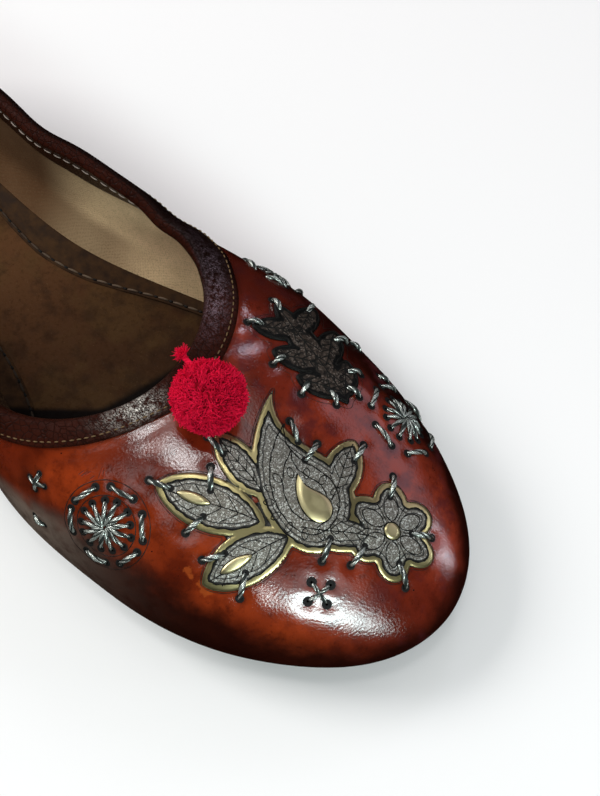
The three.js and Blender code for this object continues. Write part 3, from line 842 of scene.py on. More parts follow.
# ---------------------------------------------------------------------------------------------------------
# Materials
# ---------------------------------------------------------------------------------------------------------
class Look:
    """A node material in short calls. Colours are linear."""

    def __init__(self, name):
        self.material = bpy.data.materials.new(name)
        self.material.use_nodes = True
        self.tree = self.material.node_tree
        self.shader = self.tree.nodes["Principled BSDF"]
        self.place = self.tree.nodes.new("ShaderNodeTexCoord").outputs["Object"]

    def node(self, kind, **values):
        made = self.tree.nodes.new(kind)
        for key, value in values.items():
            setattr(made, key, value)
        return made

    def link(self, source, socket):
        """Joins a socket to an output, or sets it to a number or a colour."""
        if hasattr(source, "is_linked"):
            self.tree.links.new(source, socket)
        else:
            socket.default_value = (*source, 1.0) if isinstance(source, tuple) else source

    def attribute(self, name):
        return self.node("ShaderNodeAttribute", attribute_name=name).outputs["Fac"]

    def stretched(self, stretch):
        """The place on the object, scaled along its axes."""
        mapping = self.node("ShaderNodeMapping")
        mapping.inputs["Scale"].default_value = stretch
        self.link(self.place, mapping.inputs["Vector"])
        return mapping.outputs["Vector"]

    def noise(self, size_mm, detail=3.0, roughness=0.55, stretch=(1, 1, 1)):
        where = self.stretched(stretch)
        noise = self.node("ShaderNodeTexNoise")
        noise.inputs["Scale"].default_value = 1.0 / (size_mm * MM)
        noise.inputs["Detail"].default_value = detail
        noise.inputs["Roughness"].default_value = roughness
        self.link(where, noise.inputs["Vector"])
        return noise.outputs["Fac"]

    def cells(self, size_mm, feature="F1", output="Distance", randomness=1.0, stretch=(1, 1, 1)):
        where = self.stretched(stretch)
        voronoi = self.node("ShaderNodeTexVoronoi", feature=feature)
        voronoi.inputs["Scale"].default_value = 1.0 / (size_mm * MM)
        voronoi.inputs["Randomness"].default_value = randomness
        self.link(where, voronoi.inputs["Vector"])
        return voronoi.outputs[output]

    def dot(self, x, y, z):
        made = self.node("ShaderNodeVectorMath", operation="DOT_PRODUCT")
        self.link(self.place, made.inputs[0])
        made.inputs[1].default_value = (x, y, z)
        return made.outputs["Value"]

    def wave(self, way, size_mm):
        """Ribs across a direction, 0 to 1, a little uneven."""
        along = self.dot(*(2 * PI * w / (size_mm * MM) for w in way))
        uneven = self.times(self.noise(3.0, 2), 9.0)
        return self.ramp(self.math("SINE", self.plus(along, uneven)), -1.0, 1.0)

    def math(self, operation, a, b=0.0):
        made = self.node("ShaderNodeMath", operation=operation)
        self.link(a, made.inputs[0])
        self.link(b, made.inputs[1])
        return made.outputs[0]

    def times(self, a, b):
        return self.math("MULTIPLY", a, b)

    def plus(self, a, b):
        return self.math("ADD", a, b)

    def ramp(self, value, low, high, to_low=0.0, to_high=1.0):
        made = self.node("ShaderNodeMapRange", interpolation_type="SMOOTHSTEP")
        self.link(value, made.inputs["Value"])
        made.inputs["From Min"].default_value = low
        made.inputs["From Max"].default_value = high
        made.inputs["To Min"].default_value = to_low
        made.inputs["To Max"].default_value = to_high
        return made.outputs["Result"]

    def mix(self, share, a, b):
        made = self.node("ShaderNodeMix", data_type="RGBA", clamp_factor=True)
        colour_a, colour_b, result = made.inputs[6], made.inputs[7], made.outputs[2]
        self.link(share, made.inputs["Factor"])
        self.link(a, colour_a)
        self.link(b, colour_b)
        return result

    def tint(self, colour, over, value, low, high, most=1.0):
        """A colour with another laid over it, as far as a value has run from low to high."""
        return self.mix(self.ramp(value, low, high, 0.0, most), colour, over)

    def axis(self, name):
        split = self.node("ShaderNodeSeparateXYZ")
        self.link(self.place, split.inputs[0])
        return split.outputs[name]

    def along(self, x, y):
        """Distance in millimetres along a level direction."""
        return self.dot(x / MM, y / MM, 0.0)

    def painted_throat_shadow(self):
        """Painted shadow: 1 on the sock along the lateral edge of the throat, where it falls away under the
        vamp, else 0.
        """
        beside_ball = self.ramp(self.along(0.6366, -0.7716), 19.8, 18.0)
        under_vamp = self.ramp(self.along(0.956, -0.295), 22.4, 20.0)
        return self.math("SUBTRACT", 1.0, self.times(beside_ball, under_vamp))

    def spot(self, centre, radius_mm, ragged):
        """1 at a place on the shoe (in millimetres), falling to 0 at a ragged edge."""
        away = self.node("ShaderNodeVectorMath", operation="DISTANCE")
        self.link(self.place, away.inputs[0])
        away.inputs[1].default_value = centre * MM
        rough = self.times(self.noise(radius_mm * 0.8), ragged * 2 * radius_mm * MM)
        reach = self.plus(away.outputs["Value"], rough)
        edge = radius_mm * MM * (1 + ragged)
        return self.ramp(reach, edge * 0.8, edge * 1.1, 1.0, 0.0)

    def bump(self, height, distance_mm, strength, normal=None):
        made = self.node("ShaderNodeBump")
        made.inputs["Strength"].default_value = strength
        made.inputs["Distance"].default_value = distance_mm * MM
        self.link(height, made.inputs["Height"])
        if normal is not None:
            self.link(normal, made.inputs["Normal"])
        return made.outputs["Normal"]

    def set(self, **sockets):
        for name, value in sockets.items():
            self.link(value, self.shader.inputs[name.replace("_", " ")])


def dye_and_shade(look, low):
    """Tan, redder to the medial side, mottled, dark at holes, burnished near the sole, painted shade there and
    by the instep.
    """
    broad = look.noise(22, 2)
    mottle = look.noise(5, 4, 0.62)
    medial = look.ramp(look.axis("Y"), -0.030, 0.014)
    patchy = look.ramp(broad, 0.35, 0.65)
    warm = look.mix(patchy, (0.120, 0.0120, 0.0019), (0.262, 0.0315, 0.0050))
    cool = look.mix(patchy, (0.125, 0.0125, 0.0050), (0.245, 0.0290, 0.0105))
    colour = look.mix(medial, warm, cool)
    colour = look.tint(colour, (0.055, 0.0050, 0.0012), mottle, 0.42, 0.70, 0.55)
    fine_stain = look.noise(1.4, 4, 0.65, stretch=(1.0, 0.6, 1.0))
    colour = look.tint(colour, (0.040, 0.0040, 0.0012), fine_stain, 0.52, 0.75, 0.5)
    # Near black where the leather is burnished, and painted shade on the lower wall near the sole.
    colour = look.tint(colour, (0.0090, 0.0014, 0.0007), low, 0.20, 0.90, 0.95)
    violet = look.times(look.ramp(look.noise(8, 3, 0.6), 0.48, 0.66, 0.0, 0.7), medial)
    colour = look.mix(violet, colour, (0.060, 0.0100, 0.0120))
    colour = look.tint(colour, (0.010, 0.003, 0.002), look.attribute("stain"), 0.1, 1.0, 0.7)
    # Painted shade high on the medial wall by the instep.
    instep = look.times(look.ramp(look.axis("Y"), 0.022, 0.031), look.ramp(look.axis("X"), 0.066, 0.048))
    return look.mix(look.times(instep, 0.6), colour, (0.030, 0.0045, 0.0026))


def wear_and_sheen(look, colour):
    """Dark specks, a painted grey reflection low on the lateral wall, and scuffs."""
    speck = look.ramp(look.cells(2.6), 0.10, 0.05)
    speck = look.times(speck, look.ramp(look.noise(7, 2), 0.5, 0.62))
    colour = look.mix(speck, colour, (0.008, 0.002, 0.0015))
    # Painted reflection: a grey sheen low on the lateral wall by the ball.
    painted_sheen = look.times(look.attribute("painted_sheen"), look.ramp(look.noise(4, 4, 0.6), 0.3, 0.6, 0.5, 1.0))
    colour = look.mix(painted_sheen, colour, (0.145, 0.112, 0.088))
    for scuff in SCUFFS:
        centre = vamp_skin(scuff["d"], scuff["y"], 0.0)
        pale_mark = look.times(look.spot(centre, scuff["radius"], 0.9), 0.7)
        colour = look.mix(pale_mark, colour, (0.30, 0.055, 0.009))
    return colour


def tan_leather():
    """Hand-dyed leather under a glossy coat, which fades where the leather is burnished and painted dark near
    the sole.
    """
    look = Look("tan_leather")
    low = look.plus(look.attribute("low"), look.ramp(look.noise(9, 3), 0.3, 0.7, -0.12, 0.12))
    colour = wear_and_sheen(look, dye_and_shade(look, low))
    grain = look.noise(0.32, 4, 0.70, stretch=(1.0, 0.7, 1.0))
    creased = look.cells(0.60, feature="SMOOTH_F1", randomness=0.95)
    fine = look.plus(look.times(grain, 0.6), look.times(creased, 0.6))
    wave = look.noise(5.0, 3, 0.5)
    normal = look.bump(fine, 0.05, 0.6, look.bump(wave, 0.16, 0.5))
    look.set(Base_Color=colour, Normal=normal, Roughness=look.ramp(grain, 0.2, 0.8, 0.36, 0.52))
    look.set(Coat_Weight=look.ramp(low, 0.15, 0.90, 0.95, 0.05), Coat_Roughness=0.12, Specular_IOR_Level=0.02)
    look.set(Coat_IOR=1.9, Coat_Normal=look.bump(fine, 0.055, 0.8, look.bump(wave, 0.05, 0.3)))
    return look.material


def binding_leather():
    """Dark red-brown leather, crackled, with fine silvery flecks of painted highlight on the fold by the
    throat.
    """
    look = Look("binding_leather")
    broad = look.noise(9.0, 3, 0.6)
    fine = look.noise(0.8, 5, 0.7)
    colour = look.mix(broad, (0.010, 0.0022, 0.0013), (0.040, 0.0088, 0.0048))
    # Near black: painted shade on the outer side of the medial binding, where its roll turns from the light.
    colour = look.mix(look.attribute("dark"), colour, (0.0040, 0.0016, 0.0012))
    colour = look.tint(colour, (0.010, 0.0035, 0.0025), fine, 0.5, 0.8, 0.7)
    fleck = look.ramp(look.noise(0.34, 4, 0.80, stretch=(0.7, 1.0, 1.2)), 0.46, 0.56)
    # Painted highlight: silvery glints on the fold by the throat, and a lilac sheen on the medial side.
    painted_glint = look.times(look.ramp(look.noise(2.0, 4, 0.7), 0.36, 0.56), look.attribute("painted_glint"))
    painted_glint = look.times(painted_glint, fleck)
    pale_mark = look.mix(look.ramp(look.axis("Y"), 0.000, 0.012), (0.92, 0.88, 0.79), (0.34, 0.25, 0.30))
    colour = look.mix(painted_glint, colour, pale_mark)
    crackle = look.cells(1.5, feature="DISTANCE_TO_EDGE", stretch=(0.8, 1.1, 1.0))
    lines = look.ramp(crackle, 0.0, 0.10)
    colour = look.tint(colour, (0.0035, 0.0014, 0.0010), crackle, 0.09, 0.0, 0.6)
    height = look.plus(look.times(fine, 0.7), look.times(lines, 0.5))
    look.set(Base_Color=colour, Metallic=look.times(painted_glint, 0.45), Normal=look.bump(height, 0.22, 0.8))
    look.set(Roughness=look.ramp(fine, 0.3, 0.8, 0.24, 0.44), Specular_IOR_Level=0.03)
    return look.material


def lining_cloth():
    look = Look("lining_cloth")
    nap = look.noise(0.5, 4, 0.7)
    broad = look.noise(14, 3)
    # Painted shade: dark brown towards the back and darker on the lateral side. Painted light: lighter towards
    # the throat, and on the upper wall where high is painted.
    shade = look.ramp(look.axis("X"), -0.037, -0.015)
    above = look.mix(look.ramp(look.axis("X"), -0.024, 0.008), (0.60, 0.420, 0.235), (0.80, 0.570, 0.33))
    below = look.mix(look.ramp(look.axis("X"), -0.014, 0.008), (0.27, 0.184, 0.102), (0.74, 0.530, 0.300))
    cloth = look.mix(look.attribute("high"), below, above)
    colour = look.mix(shade, (0.080, 0.036, 0.015), cloth)
    colour = look.tint(colour, (0.022, 0.010, 0.005), look.axis("Y"), -0.006, -0.016)
    colour = look.tint(colour, (0.17, 0.095, 0.048), broad, 0.4, 0.7, 0.25)
    colour = look.tint(colour, (0.13, 0.080, 0.042), nap, 0.45, 0.75, 0.45)
    warp = look.wave((1.0, 0.0, 0.55), 0.75)
    weft = look.wave((0.35, 0.0, -1.0), 0.75)
    weave = look.times(warp, weft)
    colour = look.mix(look.times(weave, 0.16), colour, (0.10, 0.060, 0.030))
    height = look.math("SUBTRACT", look.times(nap, 0.5), look.times(weave, 0.6))
    look.set(Base_Color=colour, Roughness=0.94, Normal=look.bump(height, 0.14, 0.8), Specular_IOR_Level=0.1)
    return look.material


def sock_leather():
    look = Look("sock_leather")
    broad = look.noise(16, 4, 0.6)
    fine = look.noise(1.2, 5, 0.7)
    back = look.ramp(look.axis("X"), 0.05, -0.06)
    colour = look.mix(back, (0.030, 0.0120, 0.0042), (0.098, 0.0400, 0.0145))
    colour = look.tint(colour, (0.072, 0.037, 0.012), broad, 0.45, 0.62, 0.55)
    colour = look.tint(colour, (0.022, 0.0095, 0.004), look.noise(6, 4, 0.6), 0.44, 0.66, 0.55)
    colour = look.tint(colour, (0.020, 0.009, 0.004), fine, 0.50, 0.75, 0.5)
    fleck = look.ramp(look.noise(0.5, 3, 0.7), 0.62, 0.75, 0.0, 0.35)
    colour = look.mix(fleck, colour, (0.16, 0.10, 0.05))
    # Near black: the painted shadow under the throat, and painted shade in the corner at the foot of the wall.
    dark = look.math("MAXIMUM", look.painted_throat_shadow(), look.attribute("edge"))
    colour = look.mix(dark, colour, (0.004, 0.0018, 0.0010))
    look.set(Base_Color=colour, Roughness=look.ramp(fine, 0.3, 0.7, 0.62, 0.85))
    look.set(Normal=look.bump(look.plus(fine, broad), 0.16, 0.6), Specular_IOR_Level=0.08)
    return look.material


def sock_thread():
    """Thread, darker towards the heel, and in painted shade along the lateral side."""
    look = Look("sock_thread")
    strand = look.noise(0.4, 3, 0.6)
    front_tone = look.mix(strand, (0.07, 0.045, 0.030), (0.17, 0.12, 0.08))
    heel_tone = look.mix(strand, (0.020, 0.012, 0.008), (0.060, 0.036, 0.022))
    colour = look.mix(look.ramp(look.axis("X"), -0.036, -0.012), heel_tone, front_tone)
    # Painted shade along the lateral side, by the wall.
    colour = look.tint(colour, (0.012, 0.007, 0.005), look.axis("Y"), 0.000, -0.010, 0.8)
    look.set(Base_Color=colour, Roughness=0.75)
    look.set(Normal=look.bump(strand, 0.04, 0.7), Specular_IOR_Level=0.2)
    return look.material


def strip_leather():
    look = Look("strip_leather")
    mottle = look.noise(3.2, 3, 0.55)
    colour = look.mix(look.ramp(mottle, 0.25, 0.75), (0.020, 0.0088, 0.0038), (0.052, 0.0245, 0.0098))
    # Near black where the painted shadow under the throat lies on the strip.
    colour = look.mix(look.painted_throat_shadow(), colour, (0.003, 0.0014, 0.0009))
    look.set(Base_Color=colour, Roughness=look.ramp(mottle, 0.3, 0.7, 0.62, 0.80), Specular_IOR_Level=0.08)
    look.set(Normal=look.bump(mottle, 0.16, 0.8))
    return look.material


def sole_leather():
    look = Look("sole_leather")
    broad = look.noise(18, 4, 0.6)
    fine = look.noise(0.9, 5, 0.65)
    under = look.mix(broad, (0.33, 0.185, 0.085), (0.46, 0.28, 0.14))
    under = look.tint(under, (0.16, 0.085, 0.040), look.noise(4, 5, 0.7), 0.52, 0.72, 0.5)
    layers = look.noise(1.6, 3, 0.6, stretch=(0.06, 0.06, 1.6))
    edge = look.mix(layers, (0.030, 0.0115, 0.0055), (0.085, 0.036, 0.017))
    facing = look.node("ShaderNodeSeparateXYZ")
    geometry = look.node("ShaderNodeNewGeometry")
    look.link(geometry.outputs["Normal"], facing.inputs[0])
    down = look.ramp(facing.outputs["Z"], -0.85, -0.97)
    look.set(Base_Color=look.mix(down, edge, under), Roughness=look.ramp(fine, 0.3, 0.7, 0.42, 0.68))
    look.set(Normal=look.bump(look.plus(fine, look.times(layers, 0.6)), 0.12, 0.7))
    return look.material


def gold_foil():
    """Gold rim, a black-lined edge and a silver-brown glitter weave, by distance in from the patch's edge."""
    look = Look("gold_foil")
    inwards = look.attribute("inwards")
    wobble = look.times(look.math("SUBTRACT", look.noise(2.6, 3), 0.5), 0.9)
    line_at = look.plus(inwards, wobble)
    fill = look.ramp(line_at, 1.50, 1.60)
    line = look.times(look.ramp(line_at, 1.30, 1.40), look.ramp(line_at, 1.90, 1.80))
    inner_line = look.times(look.ramp(line_at, 2.40, 2.47), look.ramp(line_at, 2.73, 2.65))
    outer_edge = look.ramp(inwards, 0.22, 0.10)
    foil = look.mix(look.noise(7, 3), (0.50, 0.41, 0.17), (0.68, 0.59, 0.31))
    grey = look.mix(look.noise(12, 2), (0.22, 0.19, 0.145), (0.34, 0.33, 0.30))
    glint = look.cells(0.27, output="Color")
    spark = look.ramp(glint, 0.62, 0.85)
    dark = look.ramp(look.cells(0.30, randomness=0.6), 0.30, 0.62)
    weave = look.mix(look.times(dark, 0.7), grey, (0.060, 0.050, 0.038))
    weave = look.mix(look.times(spark, 0.75), weave, (0.78, 0.78, 0.72))
    colour = look.mix(fill, foil, weave)
    ink = look.math("MAXIMUM", look.math("MAXIMUM", line, inner_line), outer_edge)
    colour = look.mix(ink, colour, (0.010, 0.009, 0.007))
    bright = look.math("SUBTRACT", 1.0, ink)
    metal = look.times(bright, look.ramp(fill, 0.0, 1.0, 0.95, 0.55))
    rough = look.ramp(fill, 0.0, 1.0, 0.31, 0.42)
    woven = look.times(fill, look.times(dark, -0.4))
    height = look.plus(woven, look.times(look.noise(3.5, 3), 0.5))
    look.set(Base_Color=colour, Metallic=metal, Roughness=rough, Normal=look.bump(height, 0.10, 0.6))
    return look.material


def dark_foil():
    look = Look("dark_foil")
    inwards = look.attribute("inwards")
    uneven = look.ramp(look.noise(2.0, 3), 0.3, 0.7, -0.4, 0.4)
    rim = look.ramp(look.plus(inwards, uneven), 1.45, 1.15)
    spark = look.ramp(look.cells(0.36, output="Color"), 0.66, 0.9)
    grain = look.ramp(look.noise(1.1, 4, 0.65), 0.35, 0.65)
    body = look.mix(grain, (0.006, 0.005, 0.004), (0.050, 0.036, 0.028))
    body = look.mix(look.times(spark, 0.45), body, (0.30, 0.25, 0.21))
    colour = look.mix(rim, body, (0.004, 0.004, 0.0035))
    look.set(Base_Color=colour, Metallic=look.times(spark, 0.5), Roughness=0.40)
    look.set(Normal=look.bump(look.noise(0.8, 4, 0.7), 0.18, 0.8), Specular_IOR_Level=0.15)
    return look.material


def plain(name, colour, roughness, metallic, grain_mm, bump_mm, second, specular=0.5):
    """A small part's material: two close tones in a fine noise, and a bump."""
    look = Look(name)
    noise = look.noise(grain_mm, 3, 0.6)
    look.set(Base_Color=look.mix(noise, second, colour), Metallic=metallic, Specular_IOR_Level=specular)
    look.set(Roughness=look.ramp(noise, 0.3, 0.7, roughness * 0.85, min(1.0, roughness * 1.15)))
    look.set(Normal=look.bump(noise, bump_mm, 0.7))
    return look.material


def wool():
    look = Look("red_wool")
    mark = look.attribute("mark")
    # mark: painted light on the back of the pompom, painted shade towards the roots and in the core.
    colour = look.mix(mark, (0.15, 0.0005, 0.0040), (0.95, 0.0085, 0.060))
    colour = look.tint(colour, (0.30, 0.0012, 0.006), look.noise(1.8, 3), 0.5, 0.8, 0.5)
    look.set(Base_Color=colour, Roughness=0.8, Specular_IOR_Level=0.08)
    look.set(Sheen_Weight=0.9, Sheen_Roughness=0.45, Sheen_Tint=(1.0, 0.015, 0.080))
    return look.material


TAN = tan_leather()
BOUND = binding_leather()
LINING = lining_cloth()
SOCK = sock_leather()
SOCK_THREAD = sock_thread()
STRIP_LEATHER = strip_leather()
SOLE_LEATHER = sole_leather()
GOLD = gold_foil()
DARK = dark_foil()
WOOL = wool()
SILVER = plain("silver_thread", (0.92, 0.95, 0.88), 0.27, 0.75, 0.50, 0.06, (0.16, 0.20, 0.17))
BLACK_THREAD = plain("black_thread", (0.030, 0.040, 0.034), 0.42, 0.2, 0.5, 0.04, (0.008, 0.010, 0.009))
# Near black: painted shade for the depth of the pricked holes and of the dips between the sock's stitches.
HOLE_DARK = plain("pricked_hole", (0.010, 0.008, 0.007), 0.65, 0.0, 0.4, 0.03, (0.003, 0.003, 0.003), 0.25)
INK = plain("scored_line", (0.020, 0.008, 0.005), 0.5, 0.0, 0.8, 0.02, (0.008, 0.004, 0.003), 0.3)
RAW_EDGE = plain("raw_edge", (0.34, 0.036, 0.008), 0.6, 0.0, 0.5, 0.05, (0.16, 0.016, 0.004), 0.1)
BLACK_LINE = plain("black_line", (0.010, 0.009, 0.008), 0.55, 0.0, 0.6, 0.03, (0.004, 0.004, 0.003), 0.12)
GOLD_INLAY = plain("gold_inlay", (0.80, 0.70, 0.40), 0.34, 0.9, 4.0, 0.02, (0.66, 0.56, 0.28))
TAN_THREAD = plain("tan_thread", (0.23, 0.130, 0.044), 0.5, 0.2, 0.4, 0.04, (0.05, 0.026, 0.010))
PALE_THREAD = plain("pale_thread", (0.44, 0.36, 0.31), 0.6, 0.0, 0.4, 0.04, (0.20, 0.14, 0.11))


# ---------------------------------------------------------------------------------------------------------
# Pieces
# ---------------------------------------------------------------------------------------------------------
UPPER_TURNS = 560
TURNS = np.arange(UPPER_TURNS) / UPPER_TURNS
OUTER_ROWS = 128
INNER_ROWS = 20
LEATHER = 1.2
LINING_GAP = 0.05


def dress_leather(points, turn, share):
    """Draws the outer face in at the folds and holes, and along the binding's edge."""
    down = (1 - share) * reach_at(turn)
    seam = 0.11 * bell(down - BINDING_OUTSIDE, 0.9, 1.1)
    normal = look_up(NORMALS, turn, share)
    return dressed(points, normal) - normal * seam[..., None]


# The leather is darkened near the sole, partly burnished and partly painted shade where the lower wall
# turns from the light, by turn round the shoe: fully up to one share of the wall's height, and not at
# all above another.
BURNISH_AND_SHADE = (
    (0, 0.09, 0.19), (0.03, 0.09, 0.2), (0.05, 0.12, 0.22), (0.07, 0.16, 0.29), (0.09, 0.2, 0.38),
    (0.12, 0.4, 0.62), (0.17, 0.5, 0.84), (0.2, 0.5, 0.86), (0.26, 0.3, 0.6), (0.5, 0.12, 0.45),
    (0.75, 0.15, 0.66), (0.8, 0.4, 1.15), (0.83, 0.44, 0.9), (0.856, 0.37, 0.66), (0.88, 0.28, 0.53),
    (0.9, 0.2, 0.43), (0.93, 0.12, 0.26), (0.968, 0.08, 0.19), (1, 0.09, 0.19),
)


def make_upper():
    """The leather as one closed shell: its outer face from the sole up, then its inner face back down."""
    turn = TURNS[:, None]
    share = np.linspace(0, 1, OUTER_ROWS)
    outer = dress_leather(skin(turn, share, 0.0), turn, share)
    grid = np.concatenate([outer, skin(turn, np.linspace(1, 0, INNER_ROWS), -LEATHER)], 1)
    faces = grid_faces(*grid.shape[:2], True, True)
    piece = add_mesh("upper_leather", grid.reshape(-1, 3), faces, TAN, "upper")
    share = np.concatenate([share, np.ones(INNER_ROWS)])[None]
    at, full, none = np.transpose(BURNISH_AND_SHADE)
    full, none = (np.interp(TURNS, at, values)[:, None] for values in (full, none))
    # low: burnish and painted shade near the sole.
    paint(piece, "low", 1 - np.clip((share - full) / (none - full), 0, 1))
    # Painted grey reflection low on the lateral wall by the ball.
    painted_sheen = bell(turn, 0.795, 0.036) * smooth(-share, -0.66, -0.52)
    paint(piece, "painted_sheen", 0.8 * painted_sheen)
    stain = pulled_in(grid, 1.5, 1.0)
    stain[:, OUTER_ROWS:] = 0
    paint(piece, "stain", stain)


def make_lining():
    """The cloth inside, which swells a little over the sock's turned-up edge at its foot."""
    turn = TURNS[:, None]
    outer = skin(turn, np.linspace(0, 1, 40), -LEATHER - LINING_GAP)
    share = np.linspace(1, 0, 70)
    above = look_up(FACE, turn, share)[..., 2] - look_up(FACE, turn, 0.0)[..., 2]
    over_rim = smooth(-above, -24.0, -6.0)
    inner = skin(turn, share, -WALL - (INSOLE_AIR + INSOLE_RIM_THICK + 0.12) * over_rim)
    eased = inner.copy()
    for _ in range(60):
        eased[:, 1:-1] = (eased[:, :-2] + 2 * eased[:, 1:-1] + eased[:, 2:]) / 4
    inner += (eased - inner) * smooth((1 - share) * reach_at(turn), 13.0, 20.0)[..., None]
    grid = np.concatenate([outer, inner], 1)
    faces = grid_faces(*grid.shape[:2], True, True)
    piece = add_mesh("lining", grid.reshape(-1, 3), faces, LINING, "upper")
    # high: painted light on the upper wall, which leans over and faces down into shade.
    paint(piece, "high", np.concatenate([np.zeros_like(outer[..., 0]), smooth(above, 5.0, 11.0)], 1))


def binding_width(turn):
    """The strip's outer side is narrower along the lateral side of the throat."""
    turn = np.asarray(turn) % 1.0
    return BINDING_OUTSIDE - 1.5 * smooth(turn, 0.62, 0.78) * smooth(-turn, -0.99, -0.90)


EDGE_OUT = GAP + 0.75
EDGE_IN = -WALL - GAP - 0.6


def binding_section():
    """The strip's section outside, and over the fold and inside, with its edges turned in.

    Each point is a distance down from the topline, outside as a share of the strip's width, and an offset.
    """
    outer = [(1.0, GAP - 0.15), (1.008, GAP + 0.30), (0.945, EDGE_OUT - 0.05)]
    for share in (0.86, 0.74, 0.62, 0.5, 0.38, 0.26, 0.13, 0):
        outer.append((share, EDGE_OUT + 0.16 * math.sin(PI * share)))
    half, centre = (EDGE_OUT - EDGE_IN) / 2, (EDGE_OUT + EDGE_IN) / 2
    within = [(-1.15 * math.sin(a), centre + half * math.cos(a)) for a in np.linspace(0, PI, 11)[1:-1]]
    for down in (0.0, 0.9, 1.8, 2.7, 3.6, 4.5):
        within.append((down, EDGE_IN - 0.10 * math.sin(PI * down / BINDING_INSIDE)))
    within += [(5.4, EDGE_IN + 0.10), (BINDING_INSIDE, EDGE_IN + 0.45), (5.3, -WALL - GAP + 0.1)]
    within += [(2.5, -WALL - GAP), (-GAP, -WALL - GAP), (-GAP, GAP), (3.0, GAP)]
    return np.array(outer), np.array(within)


def make_binding():
    """The folded strip over the topline, a little puckered by its stitches."""
    outer, within = binding_section()
    turn = TURNS[:, None]
    width = binding_width(TURNS)[:, None]
    before_heel = smooth(-turn, -0.60, -0.45)
    medial = smooth(turn, 0.12, 0.20) * before_heel
    hem = 1.9 * medial + 5.3 * smooth(turn, 0.24, 0.31) * before_heel  # the inner edge lies deeper here
    inside = within[:, 0] + hem * (within[:, 0] > 4.4)
    down = np.concatenate([width * outer[:, 0], inside], 1)
    off = np.concatenate([outer[:, 1], within[:, 1]])
    near_edge = bell(down - width, -1.2, 1.0) * (off > 0.2)
    pucker = 0.06 * np.sin(2 * PI * 150 * turn) * near_edge
    slow = 0.10 * np.sin(2 * PI * 17 * turn + 2 * np.sin(2 * PI * 5 * turn)) * ((down > 0.5) & (off > GAP))
    grid = from_top(turn, down, off + pucker + slow)
    faces = grid_faces(*grid.shape[:2], True, True)
    points = grid.reshape(-1, 3)
    piece = add_mesh("binding_strip", points, faces, BOUND, "topline_binding")
    on_top = bell(down, 1.6, 2.6) * (off > -0.8)
    # Where the glints and sheen are painted on the fold.
    by_throat = bell(turn, 0.915, 0.033) + 0.45 * bell(turn, 0.15, 0.05)
    paint(piece, "painted_glint", on_top * by_throat)
    # dark: painted shade on the roll's outer side along the medial side.
    paint(piece, "dark", medial * smooth(down + 1.5 + (off > 0), 0.0, 1.6) * smooth(off, -2.3, -1.3) * 0.9)


DENSE = np.linspace(0, 1, 2401)
STITCH_TAPER = np.array([0.45, 0.85, 1, 1, 1, 0.85, 0.45])


def thread_run(name, material, spacing, length, radius, path_at, side):
    """A row of running stitches round the shoe, proud of the binding outwards (side 1) or inwards (side -1).

    path_at gives points for an array of turns.
    """
    reach = lengths_along(path_at(DENSE))
    bundle = Bundle()
    for start in np.arange(0, reach[-1] - length, spacing):
        jitter = rng.uniform(-0.12, 0.12)
        ends = np.linspace(start + jitter, start + jitter + length, len(STITCH_TAPER))
        turns = np.interp(ends, reach, DENSE)
        outward = look_up(NORMALS, turns, 0.9)
        lift = 0.8 * radius * np.sin(np.linspace(0, PI, len(ends)))[:, None] - 0.35 * radius
        points = path_at(turns) + side * outward * lift
        bundle.add(*tube(points, STITCH_TAPER * radius, 6, outward), mark=rng.uniform())
    bundle.piece(name, material, "binding_leather")


def make_binding_threads():
    thread_run(
        "binding_outer_thread", TAN_THREAD, spacing=1.75, length=1.15, radius=0.17, side=1,
        path_at=lambda turn: from_top(turn, binding_width(turn) - 1.3, EDGE_OUT + 0.12 + 0 * turn),
    )
    thread_run(
        "binding_inner_thread", PALE_THREAD, spacing=2.9, length=2.2, radius=0.18, side=-1,
        path_at=lambda turn: from_top(turn, 4.1 + 0 * turn, EDGE_IN - 0.16 + 0 * turn),
    )


# How far in from the foot of the wall the sock's stitched strip reaches, by distance behind the toe.
STRIP = {
    "d": (60, 90, 116, 135, 150, 170, 200, 248),
    "medial": (1.3, 1.5, 2.4, 4.4, 4.8, 3.8, 2.6, 2.4),
    "lateral": (1.3, 1.5, 2.4, 3.8, 4.4, 3.8, 2.6, 2.4),
}
RIM_SIDE = -WALL - INSOLE_AIR - INSOLE_RIM_THICK
LEVEL = np.array([1, 1, 0])
SOCK_TURNS = 360
STRIP_TURNS = 720


def sock_level(points):
    return underside(LENGTH / 2 - points[..., 0]) + SOLE + GAP + INSOLE


def sock_foot(turn):
    """Foot of the wall inside, with the direction inwards along the floor of the shoe."""
    base = look_up(FACE, turn, 0.0)[:, 2]
    foot = wall_at(turn, base + INSOLE + 0.1, RIM_SIDE - 0.9)
    return foot, unit(-look_up(NORMALS, turn, 0.0) * LEVEL)


def strip_width(turn, foot):
    d = LENGTH / 2 - foot[:, 0]
    medial, lateral = (np.interp(d, STRIP["d"], STRIP[side]) for side in ("medial", "lateral"))
    return np.where(turn <= 0.5, medial, lateral)


def sock_rim(turn):
    """The sock's turned-up edge, from its underside over the top to the foot of the wall inside."""
    base = look_up(FACE, turn, 0.0)[:, 2]
    clear = -WALL - INSOLE_AIR
    rim_top = base + INSOLE + INSOLE_RIM
    return [
        wall_at(turn, base, clear - GAP),
        wall_at(turn, base + INSOLE, clear),
        wall_at(turn, rim_top - 0.3, clear),
        wall_at(turn, rim_top, clear - 0.4),
        wall_at(turn, rim_top, RIM_SIDE + 0.4),
        wall_at(turn, rim_top - 0.35, RIM_SIDE),
        wall_at(turn, base + INSOLE + 2.2, RIM_SIDE),
        wall_at(turn, base + INSOLE + 0.7, RIM_SIDE - 0.2),
        wall_at(turn, base + INSOLE + 0.1, RIM_SIDE - 0.9),
    ]


